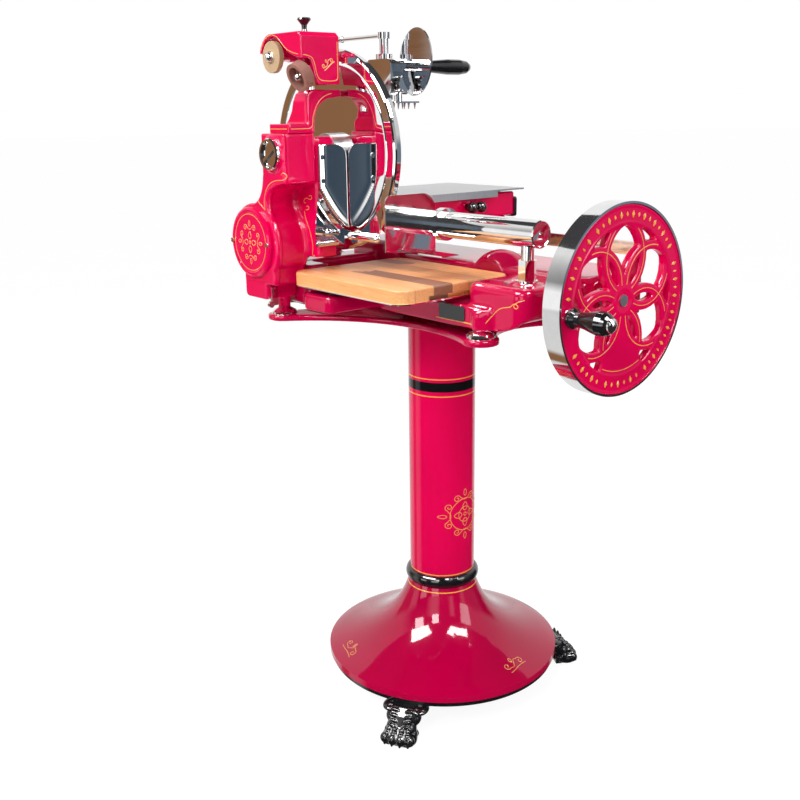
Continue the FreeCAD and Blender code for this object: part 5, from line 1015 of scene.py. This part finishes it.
def flag_material():
    """Brown, slate and white flags with dark gaps, soft boxes above them and bright strips low down."""
    shader = Shader("studio_flags")
    x, y, z = shader.parts()
    turn = shader.range(shader.math("ARCTAN2", y, x), -math.pi, math.pi)
    height = shader.range(z, WALL_LOW, WALL_HIGH)
    above = shader.ramp(height, list(zip(CEILING_EDGE, (grey(0), grey(1)))))
    colour = shader.mix(above, shader.ramp(turn, WALL), shader.ramp(turn, CEILING))
    colour = shader.mix(shader.math("GREATER_THAN", z, LID_HEIGHT), colour, LID_COLOUR)
    boxes = shader.math("MULTIPLY", shader.ramp(turn, SOFT_BOXES), shader.band(z, *BOX_SPAN))
    colour = shader.mix(boxes, colour, grey(BOX_LIGHT))
    strips = shader.any_of([shader.band(turn, start, end) for start, end in STRIPS])
    strips = shader.math("MULTIPLY", strips, shader.band(z, *STRIP_SPAN))
    colour = shader.mix(strips, colour, grey(STRIP_LIGHT))
    below = shader.ramp(height, list(zip(GROUND_EDGE, (grey(1), grey(0)))))
    colour = shader.mix(below, colour, shader.ramp(turn, GROUND))
    glow = shader.node("Emission")
    shader.link(colour, glow.inputs[0])
    shader.link(glow.outputs[0], shader.tree.nodes["Material Output"].inputs["Surface"])
    return shader.material


def only_reflected(piece):
    piece.visible_camera = False
    piece.visible_diffuse = False
    piece.visible_transmission = False
    piece.visible_shadow = False


def world_light():
    """White world to the camera, to reflections and through clear pieces, and a dimmer one as a lamp."""
    world = bpy.data.worlds.new("studio")
    bpy.context.scene.world = world
    world.use_nodes = True
    nodes, links = world.node_tree.nodes, world.node_tree.links
    dim, bright = nodes["Background"], nodes.new("ShaderNodeBackground")
    for background, strength in ((dim, WORLD_FILL), (bright, 1.0)):
        background.inputs[0].default_value = (1.0, 1.0, 1.0, 1.0)
        background.inputs[1].default_value = strength
    path = nodes.new("ShaderNodeLightPath")
    seen = path.outputs["Is Camera Ray"]
    for ray in ("Is Transmission Ray", "Is Glossy Ray"):
        either = nodes.new("ShaderNodeMath")
        either.operation = "MAXIMUM"
        links.new(seen, either.inputs[0])
        links.new(path.outputs[ray], either.inputs[1])
        seen = either.outputs[0]
    blend = nodes.new("ShaderNodeMixShader")
    for source, socket in zip((seen, dim.outputs[0], bright.outputs[0]), blend.inputs):
        links.new(source, socket)
    links.new(blend.outputs[0], nodes["World Output"].inputs["Surface"])


def set_camera(scene):
    camera_data = bpy.data.cameras.new("camera")
    camera_data.lens = CAMERA_LENS
    camera_data.clip_start = 0.02
    camera = bpy.data.objects.new("camera", camera_data)
    scene.collection.objects.link(camera)
    level = [c * math.cos(CAMERA_DOWN) for c in CAMERA_HEADING]
    ahead = Vector((*level, -math.sin(CAMERA_DOWN))).normalized()
    right = ahead.cross(Vector((0, 0, 1))).normalized()
    up = right.cross(ahead)
    rolled_right = right * math.cos(CAMERA_ROLL) - up * math.sin(CAMERA_ROLL)
    rolled_up = right * math.sin(CAMERA_ROLL) + up * math.cos(CAMERA_ROLL)
    turn = Matrix((rolled_right, rolled_up, -ahead)).transposed()
    camera.matrix_world = Matrix.Translation(CAMERA_PLACE) @ turn.to_4x4()
    scene.camera = camera


class SLICER_OT_stage(bpy.types.Operator):
    """Lay the floor, hang the lamps and set up the camera"""

    bl_idname = "slicer.stage"
    bl_label = "Stage"

    def execute(self, context):
        bpy.ops.object.select_all(action="DESELECT")
        bpy.ops.mesh.primitive_circle_add(
            vertices=96, radius=FLOOR_RADIUS, fill_type="NGON", location=(0, 0, -FLOOR_DROP),
        )
        floor = bpy.context.object
        floor.name = "floor"
        floor.data.materials.append(floor_material())
        floor.visible_glossy = False
        bpy.ops.object.select_all(action="DESELECT")
        bpy.ops.mesh.primitive_cylinder_add(
            vertices=96, radius=WALL_RADIUS, depth=WALL_HIGH - WALL_LOW,
            location=(0, 0, (WALL_LOW + WALL_HIGH) / 2),
        )
        flags = bpy.context.object
        flags.name = "studio_flags"
        bpy.ops.object.transform_apply(location=True)
        flags.data.materials.append(flag_material())
        only_reflected(flags)
        world_light()
        for name, place, aim, size, power, hidden in LAMPS:
            lamp = area_light(name, place, aim, size, power)
            if hidden:
                setattr(lamp, hidden, False)
        set_camera(context.scene)
        context.scene.view_settings.view_transform = "Standard"
        return {"FINISHED"}


# ---------------------------------------------------------------- panel and registration
STEPS = (
    SLICER_OT_stage, SLICER_OT_finishes, SLICER_OT_castings, SLICER_OT_polished_sheets,
    SLICER_OT_stone_nuts, SLICER_OT_paws, SLICER_OT_lines, SLICER_OT_wheel_studs,
)


class SLICER_PT_panel(bpy.types.Panel):
    """Sizes, colours and steps of the slicer"""

    bl_idname = "SLICER_PT_panel"
    bl_label = "Meat slicer"
    bl_space_type = "VIEW_3D"
    bl_region_type = "UI"
    bl_category = "Slicer"

    def draw(self, context):
        for group in (context.scene.slicer_colours, context.scene.slicer_sizes):
            for name in group.__annotations__:
                self.layout.prop(group, name)
        for step in STEPS:
            self.layout.operator(step.bl_idname)


CLASSES = (SlicerColours, SlicerSizes, *STEPS, SLICER_PT_panel)


def register():
    for cls in CLASSES:
        bpy.utils.register_class(cls)
    bpy.types.Scene.slicer_colours = bpy.props.PointerProperty(type=SlicerColours)
    bpy.types.Scene.slicer_sizes = bpy.props.PointerProperty(type=SlicerSizes)


def unregister():
    del bpy.types.Scene.slicer_colours
    del bpy.types.Scene.slicer_sizes
    for cls in reversed(CLASSES):
        bpy.utils.unregister_class(cls)


def main():
    register()
    for step in STEPS:
        category, name = step.bl_idname.split(".")
        getattr(getattr(bpy.ops, category), name)()
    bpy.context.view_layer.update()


if __name__ == "__main__":
    main()
